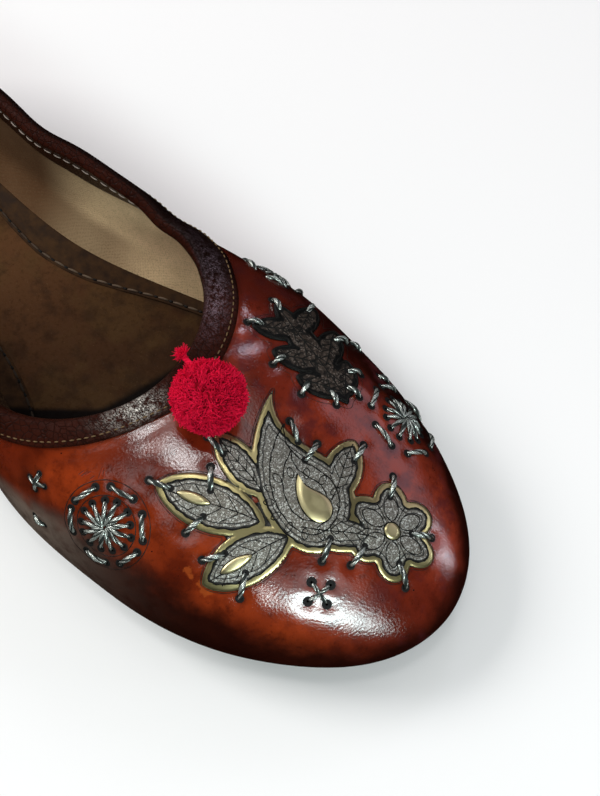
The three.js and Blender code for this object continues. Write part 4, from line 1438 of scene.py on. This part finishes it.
def make_insole():
    """The sock: its floor, and the turned-up edge that carries the lining down to it."""
    rows = sock_rim(np.arange(SOCK_TURNS) / SOCK_TURNS)
    rim_rows = len(rows)
    foot = rows[-1]
    middle = np.stack([foot[:, 0] * 0.985, spine(LENGTH / 2 - foot[:, 0] * 0.985), foot[:, 2]], 1)
    for inwards in (0.03, 0.08, 0.16, 0.28, 0.42, 0.58, 0.75, 0.9, 1.0):
        row = foot + (middle - foot) * inwards
        hollow = 0.25 * np.sin((LENGTH / 2 - row[:, 0]) / 13.0) * inwards * (1 - inwards)
        level = sock_level(row) + 0.1 - 0.35 * math.sin(PI * min(1, 6 * inwards)) + hollow
        rows.append(np.stack([row[:, 0], row[:, 1], level], 1))
    grid = np.stack(rows, 1)
    faces = list(grid_faces(SOCK_TURNS, len(rows), True, False))
    is_rim = [(k % (len(rows) - 1)) < rim_rows - 2 for k in range(len(faces))]
    for i in range(SOCK_TURNS // 2):  # the underside, in rungs from side to side
        across = (i, i + 1, SOCK_TURNS - i - 1, (SOCK_TURNS - i) % SOCK_TURNS)
        face = tuple(dict.fromkeys(k * len(rows) for k in across))
        if len(face) > 2:
            faces.append(face)
            is_rim.append(False)
    piece = add_mesh("sock", grid.reshape(-1, 3), faces, [SOCK, LINING], "insole")
    piece.data.polygons.foreach_set("material_index", np.array(is_rim, np.int32))
    inwards = np.linalg.norm((grid - foot[:, None]) * LEVEL, axis=2)
    # edge: painted shade within a few millimetres of the foot of the wall.
    paint(piece, "edge", smooth(-inwards, -3.0, -1.0))


def make_sock_strip():
    """A dark strip along the foot of the lining."""
    turn = np.arange(STRIP_TURNS) / STRIP_TURNS
    foot, inward = sock_foot(turn)
    width = strip_width(turn, foot)[:, None]
    up = np.array([0.0, 0.0, 1.0])
    base = look_up(FACE, turn, 0.0)[:, 2]
    wall = wall_at(turn, base + INSOLE + 1.2, RIM_SIDE - 0.25)

    def at(share, rise):
        point = foot + inward * width * share
        settled = min(1.0, share / 0.3)
        point[:, 2] = foot[:, 2] * (1 - settled) + sock_level(point) * settled + rise
        return point

    rows = [
        wall, wall + inward * 0.3 - up * 0.2, at(0.08, 0.75), at(0.25, 0.45), at(0.6, 0.38), at(0.93, 0.38),
        at(1.0, 0.2), at(1.0, -0.25), at(0.5, -0.3), at(0.1, -0.1), wall - up * 0.8,
    ]
    faces = grid_faces(STRIP_TURNS, len(rows), True, True)
    add_mesh("sock_strip", np.stack(rows, 1).reshape(-1, 3), faces, STRIP_LEATHER)


def make_sock_stitches():
    """Running stitches along the strip's inner edge, with a dark dip of painted shade between one and the
    next.
    """
    foot, inward = sock_foot(DENSE)
    path = foot + inward * (strip_width(DENSE, foot) - 0.9)[:, None]
    path[:, 2] = sock_level(path) + 0.42
    reach = lengths_along(path)
    pale, dark = Bundle(), Bundle()
    for start in np.arange(0, reach[-1] - 3.4, 4.4):
        points = path_between(path, reach, start, start + 3.1, 6)
        points[:, 2] += 0.22 * np.sin(np.linspace(0, PI, 6))
        pale.add(*tube(points, 0.32 * np.array([0.5, 0.9, 1, 1, 0.9, 0.5]), 6), mark=rng.uniform())
        points = path_between(path, reach, start + 3.2, start + 4.3, 4)
        dark.add(*tube(points, 0.36 * np.array([0.6, 1, 1, 0.6]), 6), mark=rng.uniform())
    pale.piece("sock_stitches", SOCK_THREAD, "insole_leather")
    dark.piece("sock_stitch_holes", HOLE_DARK, "insole_leather")


def path_between(path, reach, start, end, count):
    """Points of a path from one length along it to another."""
    at = np.linspace(start, end, count)
    return np.stack([np.interp(at, reach, path[:, k]) for k in range(3)], 1)



SOLE_TURNS = 480


def sole_outline(turn, inset, height):
    """The sole's outline, drawn in by an inset, at a height above its own underside."""
    foot = look_up(FACE, turn, 0.0)
    point = foot + unit(look_up(NORMALS, turn, 0.0) * LEVEL) * (SOLE_LEDGE - inset)
    point[:, 2] = underside(LENGTH / 2 - point[:, 0]) + height
    return point


def plate_faces(count, levels):
    """Faces of outlines one above another, with rungs from side to side below and above."""
    faces = list(grid_faces(levels, count, False, True))
    top = (levels - 1) * count
    for i in range(count // 2):
        quad = tuple(dict.fromkeys((i, i + 1, count - i - 1, (count - i) % count)))
        if len(quad) > 2:
            faces.append(quad[::-1])
            faces.append(tuple(top + k for k in quad))
    return faces


def make_outsole():
    """The sole, with its edge rounded below; levels are (inset, height)."""
    turn = np.arange(SOLE_TURNS) / SOLE_TURNS
    foot = ((1.0, 0.0), (0.55, 0.12), (0.2, 0.45), (0.0, 0.95))
    levels = (*foot, (-0.04, 1.9), (0.0, 2.9), (0.05, 3.5), (0.35, SOLE))
    grid = np.concatenate([sole_outline(turn, inset, height) for inset, height in levels])
    faces = plate_faces(SOLE_TURNS, len(levels))
    add_mesh("outsole_leather", grid, faces, SOLE_LEATHER, "outsole")


def make_heel_lift():
    """The lift under the heel: the sole's outline behind a shallow hollow breast."""
    turn = np.arange(SOLE_TURNS) / SOLE_TURNS
    breast = HEEL_BREAST + 3.5
    hollow = 3.0
    levels = ((0.9, 0.0), (0.6, 0.25), (0.55, 2.2), (0.6, HEEL_PITCH - GAP))
    grid = []
    for inset, height in levels:
        outline = sole_outline(turn, inset, 0.0)
        behind = outline[LENGTH / 2 - outline[:, 0] > breast]
        start, end = behind[0], behind[-1]
        share = np.linspace(0, 1, 26)[1:-1, None]
        front = end + (start - end) * share
        front[:, 0] -= 2 * hollow * (share * (1 - share))[:, 0]
        loop = np.concatenate([behind, front])
        loop[:, 2] = height
        grid.append(loop)
    count = len(grid[0])
    faces = [*grid_faces(len(levels), count, False, True), cap(0, count)[::-1], cap(len(levels) - 1, count)]
    add_mesh("heel_leather", np.concatenate(grid), faces, SOLE_LEATHER, "heel_lift")


def patch_mesh(name, motifs, window, material, node):
    """A patch as a fine grid, trimmed to the motifs' outline and turned down at its edge."""
    cell = 0.36
    d = np.arange(window[0], window[1] + cell, cell)
    y = np.arange(window[2], window[3] + cell, cell)
    dd, yy = np.meshgrid(d, y, indexing="ij")
    signed = patch_distance(motifs, dd, yy)
    by_d, by_y = np.gradient(signed, cell)
    size = np.maximum(np.hypot(by_d, by_y), 0.3)
    snap = (signed > -0.45 * cell) & (signed < 1.05 * cell)
    dd = np.where(snap, dd - by_d / size**2 * signed, dd)
    yy = np.where(snap, yy - by_y / size**2 * signed, yy)
    signed = np.where(snap, 0.0, signed)
    keep = signed <= 0
    rows, columns = dd.shape
    quads = grid_faces(rows, columns, False, False)
    quads = quads[keep.ravel()[quads].all(1)]
    used = np.unique(quads)
    number = np.full(rows * columns, -1)
    number[used] = np.arange(len(used))
    inwards = -signed.ravel()[used]
    edge = smooth(inwards, 0.0, 0.45)
    offset = 0.12 + (PATCH_TOP - 0.12) * (0.60 + 0.40 * edge)
    top = vamp_skin(dd.ravel()[used], yy.ravel()[used], offset)
    base = vamp_skin(dd.ravel()[used], yy.ravel()[used], 0.06 + 0 * offset)
    faces = number[quads]
    pairs = np.concatenate([faces[:, [k, (k + 1) % 4]] for k in range(4)])
    ordered = np.sort(pairs, 1)
    _, first, counts = np.unique(ordered, axis=0, return_index=True, return_counts=True)
    rim = pairs[first[counts == 1]]
    n = len(used)
    sides = np.stack([rim[:, 1], rim[:, 0], rim[:, 0] + n, rim[:, 1] + n], 1)
    under = faces[:, ::-1] + n
    everything = np.concatenate([faces, sides, under])
    piece = add_mesh(name, np.concatenate([top, base]), everything, material, node)
    paint(piece, "inwards", np.concatenate([inwards, np.zeros(n)]))


def contour(motifs, window, level):
    """Closed lines in plan where the signed distance from a patch's edge has a value."""
    cell, margin, shortest = 0.5, 3, 12
    d = np.arange(window[0] - margin, window[1] + margin, cell)
    y = np.arange(window[2] - margin, window[3] + margin, cell)
    dd, yy = np.meshgrid(d, y, indexing="ij")
    value = patch_distance(motifs, dd, yy) - level
    places = {}
    links = {}

    def cut(a, b):
        """Marks where the value passes zero between two corners of the grid."""
        t = value[a] / (value[a] - value[b])
        places[a + b] = d[a[0]] + t * (d[b[0]] - d[a[0]]), y[a[1]] + t * (y[b[1]] - y[a[1]])
        return a + b

    for i in range(len(d) - 1):
        for j in range(len(y) - 1):
            corner = value[i : i + 2, j : j + 2] > 0
            if corner.all() or not corner.any():
                continue
            first, second, third, fourth = (i, j), (i + 1, j), (i + 1, j + 1), (i, j + 1)
            sides = ((first, second), (second, third), (fourth, third), (first, fourth))
            cuts = [cut(a, b) for a, b in sides if (value[a] > 0) != (value[b] > 0)]
            for a, b in zip(cuts[::2], cuts[1::2]):
                links.setdefault(a, []).append(b)
                links.setdefault(b, []).append(a)
    return [np.array([places[k] for k in line]) for line in chains(links) if len(line) > shortest]


def chains(links):
    """Runs of linked keys, each followed from one key to the next until none is left."""
    found = []
    left = set(links)
    while left:
        line = [left.pop()]
        while True:
            following = [k for k in links[line[-1]] if k in left]
            if not following:
                break
            left.discard(following[0])
            line.append(following[0])
        found.append(line)
    return found


def loop_on(bundle, path, width, offset, height=0.10, wobble=0.0):
    """A thin raised line that follows the leather round a closed plan path."""
    line_on(bundle, np.concatenate([path, path[:1]]), width, offset, height, wobble)


def line_on(bundle, path, width, offset, height=0.10, wobble=0.0):
    """The same along an open path."""
    path = np.asarray(path, float)
    gaps = np.hypot(*np.diff(path, axis=0).T)
    reach = np.concatenate([[0], np.cumsum(gaps)])
    count = max(6, int(reach[-1] / 0.55))
    at = np.linspace(0, reach[-1], count)
    d, y = (np.interp(at, reach, path[:, k]) for k in range(2))
    if wobble:
        push = wobble * np.sin(at * 1.9 + 1.3 * np.sin(at * 0.7))
        way = np.stack([np.gradient(d), np.gradient(y)])
        way /= np.hypot(*way) + 1e-9
        d, y = d - push * way[1], y + push * way[0]
    points = vamp_skin(d, y, offset + 0 * d)
    _, normal = leather_face(d, y)
    tangent = np.gradient(points, axis=0)
    tangent /= np.linalg.norm(tangent, axis=1, keepdims=True) + 1e-12
    across = np.cross(normal, tangent)
    half = width / 2 * (0.75 + 0.25 * np.sin(at * 2.3))
    section = ((-1.0, 0.0), (-0.6, 0.8), (0.0, 1.0), (0.6, 0.8), (1.0, 0.0))
    rows = [points + across * (s * half)[:, None] + normal * (h * height) for s, h in section]
    grid = np.stack(rows, 1).reshape(-1, 3)
    bundle.add(grid, grid_faces(count, len(section), False, False))


def inlay(bundle, outline, offset):
    """A small plate of any simple outline, given as plan places, laid on a patch."""
    height = 0.24
    centre = outline.mean(0)
    rings = []
    for share, rise in ((1.0, 0.0), (0.93, height), (0.55, height * 1.15), (0.12, height * 1.15)):
        d, y = (centre + (outline - centre) * share).T
        rings.append(vamp_skin(d, y, offset + rise + 0 * d))
    count = len(outline)
    faces = [*grid_faces(len(rings), count, False, True), cap(len(rings) - 1, count)[::-1]]
    bundle.add(np.concatenate(rings), faces)


GOLD_WINDOW = (7.0, 72.0, -36.0, 22.0)
DARK_WINDOW = (43.0, 80.0, 13.0, 41.0)


def turned(path, angle):
    return laid(path, 0, 0, angle) * [-1, 1]


def leaf_veins(bundle, one, offset, width=0.34):
    """A midrib and four pairs of veins, drawn as shares of a leaf's half length and half width."""
    half = np.abs(one["outline"]).max(0)
    s = np.linspace(-0.86, 0.86, 24)
    line_on(bundle, laid_on(one, np.stack([s, 0.06 * np.sin(s * 3)], 1) * half), width, offset)
    for at in (-0.5, -0.2, 0.1, 0.4):
        for side in (-1, 1):
            t = np.linspace(0, 1, 10)
            reach = 0.52 * math.sqrt(max(0.05, 1 - (at + 0.15) ** 2))
            path = np.stack([at + 0.26 * t, side * reach * t**0.85], 1)
            line_on(bundle, laid_on(one, path * half), width * 0.8, offset)


def draw_paisley(lines, plates):
    """Rings within the drop, round a small plate with a ring of buds."""
    drop = GOLD_MOTIFS["drop"]
    middle = np.array([-5.5, -1.0])
    for scale, width in ((0.66, 0.40), (0.42, 0.36)):
        ring = laid_on(drop, (drop["outline"] - middle) * scale + middle)
        loop_on(lines, ring, width, PATCH_TOP, 0.12, 0.08)
    inner = laid_on(drop, mango(11.5, 7.0, -0.5) + [-6.5, 0.2])
    inlay(plates, inner, PATCH_TOP + 0.04)
    loop_on(lines, inner, 0.42, PATCH_TOP + 0.05, 0.16)
    for angle in np.linspace(0, 2 * PI, 14, endpoint=False):
        spot = np.array([-6.0 + 8.6 * math.cos(angle), 0.2 + 6.6 * math.sin(angle)])
        loop_on(lines, laid_on(drop, turned(leaf(2.6, 1.5, 16), angle) + spot), 0.28, PATCH_TOP, 0.10)


def draw_leaves(lines, plates):
    for name in ("leaf_back", "leaf_side", "leaf_inner", "leaf_toe", "leaf_throat"):
        leaf_veins(lines, GOLD_MOTIFS[name], PATCH_TOP)
    for name, shift in (("leaf_back", 0.30), ("leaf_side", 0.25)):
        one = GOLD_MOTIFS[name]
        small = laid_on(one, leaf(8.0, 2.3, 32) + [one["outline"][:, 0].max() * shift, 0.0])
        inlay(plates, small, PATCH_TOP + 0.06)
        loop_on(lines, small, 0.36, PATCH_TOP + 0.05, 0.16)


def draw_flower(lines, plates):
    """Six petals with a spoke between one and the next, round a heart."""
    bloom = GOLD_MOTIFS["flower"]
    for k in range(6):
        angle = k * PI / 3
        petal = turned(leaf(5.6, 3.4, 30), angle) + 5.0 * np.array([math.cos(angle), math.sin(angle)])
        loop_on(lines, laid_on(bloom, petal), 0.36, PATCH_TOP, 0.12)
        spread = angle + PI / 6
        spoke = np.array([math.cos(spread), math.sin(spread)]) * np.linspace(2.6, 6.6, 9)[:, None]
        line_on(lines, laid_on(bloom, spoke), 0.30, PATCH_TOP, 0.10)
    heart = polar(28, 1.9)
    inlay(plates, laid_on(bloom, heart), PATCH_TOP)
    loop_on(lines, laid_on(bloom, heart * 1.05), 0.40, PATCH_TOP + 0.04, 0.16)


def make_gold_patch():
    patch_mesh("gold_applique", GOLD_MOTIFS, GOLD_WINDOW, GOLD, "patch_gold")
    lines, plates, scored = Bundle(), Bundle(), Bundle()
    for line in contour(GOLD_MOTIFS, GOLD_WINDOW, 0.40):
        loop_on(scored, line, 0.20, 0.02, 0.05)
    for line in contour(GOLD_MOTIFS, GOLD_WINDOW, -1.45):
        loop_on(lines, line, 0.50, PATCH_TOP, 0.14, 0.12)
    draw_paisley(lines, plates)
    draw_leaves(lines, plates)
    draw_flower(lines, plates)
    lines.piece("gold_applique_linework", BLACK_LINE, "gold_applique")
    plates.piece("gold_applique_inlays", GOLD_INLAY, "gold_applique")
    scored.piece("scored_edge_line", INK, "upper_leather")


def make_dark_patch():
    patch_mesh("dark_applique", DARK_MOTIFS, DARK_WINDOW, DARK, "patch_dark")
    lines, scored = Bundle(), Bundle()
    for line in contour(DARK_MOTIFS, DARK_WINDOW, -0.45):
        loop_on(lines, line, 0.60, PATCH_TOP - 0.05, 0.22, 0.10)
    for one in DARK_MOTIFS.values():
        leaf_veins(lines, one, PATCH_TOP, 0.46)
    lines.piece("dark_applique_linework", BLACK_LINE, "dark_applique")
    for line in contour(DARK_MOTIFS, DARK_WINDOW, 1.1):
        loop_on(scored, line, 0.16, 0.02, 0.04)
    scored.piece("dark_scored_line", INK, "upper_leather")


def make_scored_circles():
    bundle = Bundle()
    angles = 2 * PI * np.arange(90) / 90
    for rosette in ROSETTES:
        for radius in SCORED if rosette["scored"] else ():
            path = on_leather(rosette["d"], rosette["y"], radius * np.cos(angles), radius * np.sin(angles))
            loop_on(bundle, path, 0.28, 0.015, 0.06)
    bundle.piece("scored_circles", INK, "upper_leather")


def make_cuts():
    """Raw red edges and a dark line where the dyed surface is nicked."""
    raw, dark = Bundle(), Bundle()
    for start, end in CUTS:
        path = np.linspace(start, end, 6)
        line_on(raw, path, 0.42, 0.01, 0.06)
        line_on(dark, path + [0.18, 0.10], 0.16, 0.03, 0.06)
    raw.piece("cut_edges", RAW_EDGE, "upper_leather")
    dark.piece("cut_lines", INK, "upper_leather")


def make_holes():
    """Each hole as a low rim that falls in to a dark floor of painted shade."""
    bundle = Bundle()
    for hole in WORK.holes:
        rings = []
        for (points, normals), rise in zip(hole["rings"], (0.02, 0.10, 0.06, 0.05)):
            rings.append(dressed(points, normals) + normals * (hole["base"] + rise))
        sides = len(rings[0])
        faces = [*grid_faces(len(rings), sides, False, True), cap(len(rings) - 1, sides)]
        bundle.add(np.concatenate(rings), faces)
    bundle.piece("pricked_holes", HOLE_DARK, "upper_leather")


STRANDS = 6


def make_stitches():
    """Each stitch is a bundle of twisted strands, pale and black, that dips into a hole at its ends."""
    pale, black = Bundle(), Bundle()
    for stitch in WORK.stitches:
        normal, width = stitch["normals"], stitch["width"]
        s = np.linspace(0, 1, len(normal))
        bulge = np.sin(PI * np.clip(s, 0.02, 0.98)) ** 0.45
        line = dressed(stitch["points"], normal) + normal * (-0.15 + stitch["rise"] * bulge)[:, None]
        tangent = np.gradient(line, axis=0)
        tangent /= np.linalg.norm(tangent, axis=1, keepdims=True)
        across = np.cross(normal, tangent)
        over = np.cross(tangent, across)
        reach = float(np.linalg.norm(np.diff(line, axis=0), axis=1).sum())
        twist = 2 * PI * max(0.35, reach / 7.0) * rng.uniform(0.8, 1.2)
        phase = rng.uniform(0, 2 * PI)
        narrow = 0.72 + 0.28 * np.sin(PI * s)
        dark_ones = {0, 2, 3} if rng.uniform() < 0.6 else {0, 3}
        for k in range(STRANDS):
            angle = phase + 2 * PI * k / STRANDS + twist * s
            radius = 0.35 * width * narrow
            offset = across * (radius * np.cos(angle))[:, None]
            offset += over * (0.75 * radius * np.sin(angle))[:, None]
            thick = 0.23 * width * narrow * (0.9 if k in dark_ones else 1.0)
            form = tube(line + offset, thick, 6, normal)
            (black if k in dark_ones else pale).add(*form, mark=rng.uniform())
    pale.piece("embroidery_silver", SILVER, "upper_leather")
    black.piece("embroidery_black", BLACK_THREAD, "upper_leather")


POMPOM_RADIUS = 9.0
POMPOM_PLACE = (68.6, -2.5)
LOCK_REACH = 0.7
CORE_RADIUS = 7.4
FIBRES = 9000
CLUMPS = 320


def fibre_block(paths, radii):
    """Many thin three-sided fibres at once, as points and faces. paths: fibres x rings x 3."""
    count, rings = paths.shape[:2]
    tangent = np.gradient(paths, axis=1)
    tangent /= np.linalg.norm(tangent, axis=2, keepdims=True) + 1e-9
    helper = np.where(np.abs(tangent[:, :1, 2:3]) < 0.9, [[[0.0, 0.0, 1.0]]], [[[1.0, 0.0, 0.0]]])
    across = np.cross(tangent, np.broadcast_to(helper, tangent.shape))
    across /= np.linalg.norm(across, axis=2, keepdims=True) + 1e-9
    over = np.cross(tangent, across)
    u = 2 * PI * np.arange(3) / 3
    ring = across[:, :, None] * np.cos(u)[:, None] + over[:, :, None] * np.sin(u)[:, None]
    points = paths[:, :, None] + ring * radii[:, :, None, None]
    faces = grid_faces(rings, 3, False, True) + 3 * rings * np.arange(count)[:, None, None]
    return points.reshape(-1, 3), faces.reshape(-1, 4).tolist()


def pompom_centre():
    point, normal = bare_face(np.float64(POMPOM_PLACE[0]), np.float64(POMPOM_PLACE[1]))
    return point + normal * (POMPOM_RADIUS + GAP + LOCK_REACH)


def cut_fibres():
    """Fibres that stand out from the core and curl over at their ends, with their ways out and clumps."""
    index = np.arange(FIBRES) + 0.5
    z = 1 - 2 * index / FIBRES
    angle = PI * (1 + 5**0.5) * index
    way = np.stack([np.sqrt(1 - z * z) * np.cos(angle), np.sqrt(1 - z * z) * np.sin(angle), z], 1)
    seeds = unit(rng.normal(size=(CLUMPS, 3)))
    nearest = np.argmax(way @ seeds.T, 1)
    way = unit(way + 0.25 * (seeds[nearest] - way) + rng.normal(0, 0.03, way.shape))
    lean = unit(np.cross(way, unit(rng.normal(size=(CLUMPS, 3)))[nearest] + rng.normal(0, 0.5, way.shape)))
    uneven = 0.18 * np.sin(3.1 * way[:, 0] + 1.7) * np.cos(2.7 * way[:, 1]) + 0.10 * np.sin(5.3 * way[:, 2])
    reach = POMPOM_RADIUS - 0.75 + uneven + rng.normal(0, 0.20, FIBRES)
    reach = reach + rng.uniform(-0.35, 0.25, CLUMPS)[nearest]
    reach = np.clip(reach, POMPOM_RADIUS - 1.9, POMPOM_RADIUS - 0.05)[:, None]
    curl = rng.uniform(0.2, 1.0, (FIBRES, 1))
    paths = np.stack(
        [
            way * 6.0,
            way * (reach - 1.5) + lean * 0.25 * curl,
            way * (reach - 0.35) + lean * 1.0 * curl + rng.normal(0, 0.08, way.shape),
            way * (reach + 0.10) + lean * 2.0 * curl + rng.normal(0, 0.22, way.shape),
        ],
        1,
    )
    size = np.linalg.norm(paths, axis=2, keepdims=True)
    paths = paths * np.minimum(1, (POMPOM_RADIUS + 0.45) / size)
    return paths, way, nearest


def make_pompom():
    """A ball of cut wool: a core and its fibres."""
    centre = pompom_centre()
    paths, way, nearest = cut_fibres()
    radii = rng.uniform(0.11, 0.17, (FIBRES, 1)) * np.array([1.3, 1.15, 1.0, 0.6])
    points, faces = fibre_block(centre + paths, radii)
    tone = rng.uniform(0.55, 1.0, FIBRES) * (0.75 + 0.25 * rng.uniform(0, 1, CLUMPS)[nearest])
    tone *= 0.97 + 0.45 * np.clip(-way[:, 0], 0, 1)  # painted light on the back, which faces the key light
    # Darker towards the root: painted shade deeper in the pile.
    by_ring = np.repeat([0.15, 0.45, 0.85, 1.0], 3)  # brighter towards the tip
    marks = np.repeat(tone, len(by_ring)) * np.tile(by_ring, FIBRES)
    ball, ball_faces = lumpy_ball(centre, CORE_RADIUS)
    faces += (ball_faces + len(points)).tolist()
    piece = add_mesh("pompom_wool", np.concatenate([points, ball]), faces, WOOL, "pompom")
    # The core is marked darkest: painted shade deep in the pile.
    paint(piece, "mark", np.concatenate([marks, np.full(len(ball), 0.1)]))


def lumpy_ball(centre, radius):
    """The pompom's core, as points and faces."""
    rows, columns = 24, 40
    v = np.linspace(0.02, PI - 0.02, rows)[:, None]
    u = 2 * PI * np.arange(columns) / columns
    ball = np.stack([np.sin(v) * np.cos(u), np.sin(v) * np.sin(u), np.cos(v) + 0 * u], -1).reshape(-1, 3)
    lumps = 0.2 * np.sin(9 * ball[:, 0] + 7 * ball[:, 1])
    return centre + ball * (radius + lumps)[:, None], grid_faces(rows, columns, False, True)


def make_yarn_end():
    """The yarn that ties the pompom, ending in a loose tuft."""
    centre = pompom_centre()
    tail = Bundle()
    route = np.array([[-5, 3, 0], [-8, 4.0, -1.6], [-10.5, 4.4, -2.4], [-12.2, 4.6, -2.2]], float)
    t = np.linspace(0, 1, 22)
    knots = np.linspace(0, 1, len(route))
    line = centre + np.stack([np.interp(t, knots, route[:, k]) for k in range(3)], 1)
    for ply in range(3):
        turn = 2 * PI * 2.6 * t + ply * 2 * PI / 3
        wind = np.stack([0 * t, 0.36 * np.cos(turn), 0.36 * np.sin(turn)], 1)
        tail.add(*tube(line + wind, 0.36, 7), mark=0.85)
    end = line[-1]
    hairs = 300
    root = end + rng.normal(0, 0.25, (hairs, 3)) + [0.6, 0, 0]
    spread = rng.normal(0, 1, (hairs, 3)) * [0.5, 0.85, 0.6]
    middle = end + [-0.5, 0.1, 0.2] + 0.55 * spread
    tip = end + [-1.1, 0.2, 0.3] + 1.0 * spread + rng.normal(0, 0.25, (hairs, 3))
    paths = np.stack([root, (root + middle) / 2 + rng.normal(0, 0.12, (hairs, 3)), middle, tip], 1)
    points, faces = fibre_block(paths, rng.uniform(0.08, 0.14, (hairs, 1)) * np.array([1, 1, 1, 0.6]))
    tail.add(points, faces, mark=0.9)
    tail.piece("pompom_yarn_end", WOOL, "wool")


# ---------------------------------------------------------------------------------------------------------
# Stage: floor, light and camera
# ---------------------------------------------------------------------------------------------------------
def make_floor():
    look = Look("floor_white")
    look.set(Base_Color=(0.860, 0.838, 0.828), Roughness=0.9, Specular_IOR_Level=0.1)
    mesh = bpy.data.meshes.new("floor")
    half = 3.0
    corners = [(-half, -half, 0), (half, -half, 0), (half, half, 0), (-half, half, 0)]
    mesh.from_pydata(corners, [], [(0, 1, 2, 3)])
    mesh.materials.append(look.material)
    floor = bpy.data.objects.new("floor", mesh)
    floor.visible_glossy = False  # the leather mirrors only the soft panels, as in a dark studio
    bpy.context.scene.collection.objects.link(floor)


AIM = (0.062, 0.003, 0.025)
# Soft panels: the direction they shine from (azimuth from the toe to the medial side, height above the
# floor), how far away, how wide and tall, how much turned in their own plane, how strong and what colour.
LIGHTS = listed(
    "name azimuth height away wide tall turned power colour",
    ("front_sheen", -22, 44, 0.8, 0.50, 0.22, 0, 0.32, (1, 0.94, 0.97)),
    ("key", 200, 41, 1.0, 0.42, 0.40, 0, 5.8, (1, 1, 1)),
    ("overhead", 120, 83, 0.9, 0.42, 0.42, 0, 0.62, (1, 1, 1)),
    ("overhead_core", -70, 87.5, 0.9, 0.10, 0.10, 0, 0.55, (0.98, 1, 1)),
    ("rear", 160, 15, 1.1, 0.70, 0.26, 0, 1.30, (1, 1, 1)),
    ("lateral", -84, 62, 0.9, 0.14, 0.34, 0, 0.18, (0.95, 0.97, 1)),
    ("front", -25, 32, 0.8, 0.42, 0.115, -18, 1.80, (0.86, 1, 1)),
    ("front_core", -28, 32.5, 0.8, 0.26, 0.09, -18, 1.05, (0.74, 1, 1)),
    ("medial", 62, 30, 0.9, 0.80, 0.42, 0, 0.60, (0.93, 0.82, 1)),
    ("back", 114, 45, 0.8, 0.05, 0.15, 26, 0.30, (0.82, 0.84, 1)),
    ("toe", 36, 16, 0.7, 0.070, 0.045, -27, 0.20, (0.80, 0.90, 1)),
)
WORLD_STRENGTH = 0.34


def direction(azimuth, height):
    """For a bearing and a height above the floor: a level direction square to it, and the way there."""
    azimuth, height = math.radians(azimuth), math.radians(height)
    level = math.cos(height)
    way = Vector((math.cos(azimuth) * level, math.sin(azimuth) * level, math.sin(height)))
    return Vector((-math.sin(azimuth), math.cos(azimuth), 0)), way


def make_lights():
    for spec in LIGHTS:
        right, way = direction(spec["azimuth"], spec["height"])
        up = way.cross(right)
        data = bpy.data.lights.new(spec["name"], "AREA")
        data.shape = "RECTANGLE"
        data.size = spec["wide"]
        data.size_y = spec["tall"]
        data.energy = spec["power"]
        data.color = spec["colour"]
        light = bpy.data.objects.new(spec["name"], data)
        light.visible_camera = False
        basis = Matrix((right, up, way)).transposed().to_4x4()
        spin = Matrix.Rotation(math.radians(spec["turned"]), 4, "Z")
        light.matrix_world = Matrix.Translation(Vector(AIM) + way * spec["away"]) @ basis @ spin
        bpy.context.scene.collection.objects.link(light)
    world = bpy.data.worlds.new("studio")
    world.use_nodes = True
    background = world.node_tree.nodes["Background"]
    background.inputs["Color"].default_value = (1.0, 1.0, 1.0, 1.0)
    background.inputs["Strength"].default_value = WORLD_STRENGTH
    world.cycles_visibility.glossy = False  # fills the shadows without a haze on the leather
    bpy.context.scene.world = world


CAMERA_AZIMUTH = 39.8
CAMERA_ELEVATION = 64.5
CAMERA_DISTANCE = 0.3147
CAMERA_TARGET = (0.0618, 0.0229, 0.020)
SENSOR = 36.0
FOCAL_SHARE = 1250 / 796  # focal length over the picture's long side


def make_camera():
    azimuth, elevation = math.radians(CAMERA_AZIMUTH), math.radians(CAMERA_ELEVATION)
    level = math.cos(elevation)
    back = Vector((math.sin(azimuth) * level, -math.cos(azimuth) * level, math.sin(elevation)))
    right = Vector((math.cos(azimuth), math.sin(azimuth), 0))
    up = back.cross(right)
    data = bpy.data.cameras.new("camera")
    data.sensor_width = SENSOR
    data.lens = FOCAL_SHARE * SENSOR
    data.clip_start = 0.01
    camera = bpy.data.objects.new("camera", data)
    turn = Matrix((right, up, back)).transposed().to_4x4()
    camera.matrix_world = Matrix.Translation(Vector(CAMERA_TARGET) + back * CAMERA_DISTANCE) @ turn
    bpy.context.scene.collection.objects.link(camera)
    bpy.context.scene.camera = camera
    bpy.context.scene.view_settings.view_transform = "Standard"


make_camera()
make_lights()
make_floor()
make_upper()
make_lining()
make_binding()
make_binding_threads()
make_insole()
make_sock_strip()
make_sock_stitches()
make_outsole()
make_heel_lift()
make_gold_patch()
make_dark_patch()
make_scored_circles()
make_cuts()
make_holes()
make_stitches()
make_pompom()
make_yarn_end()
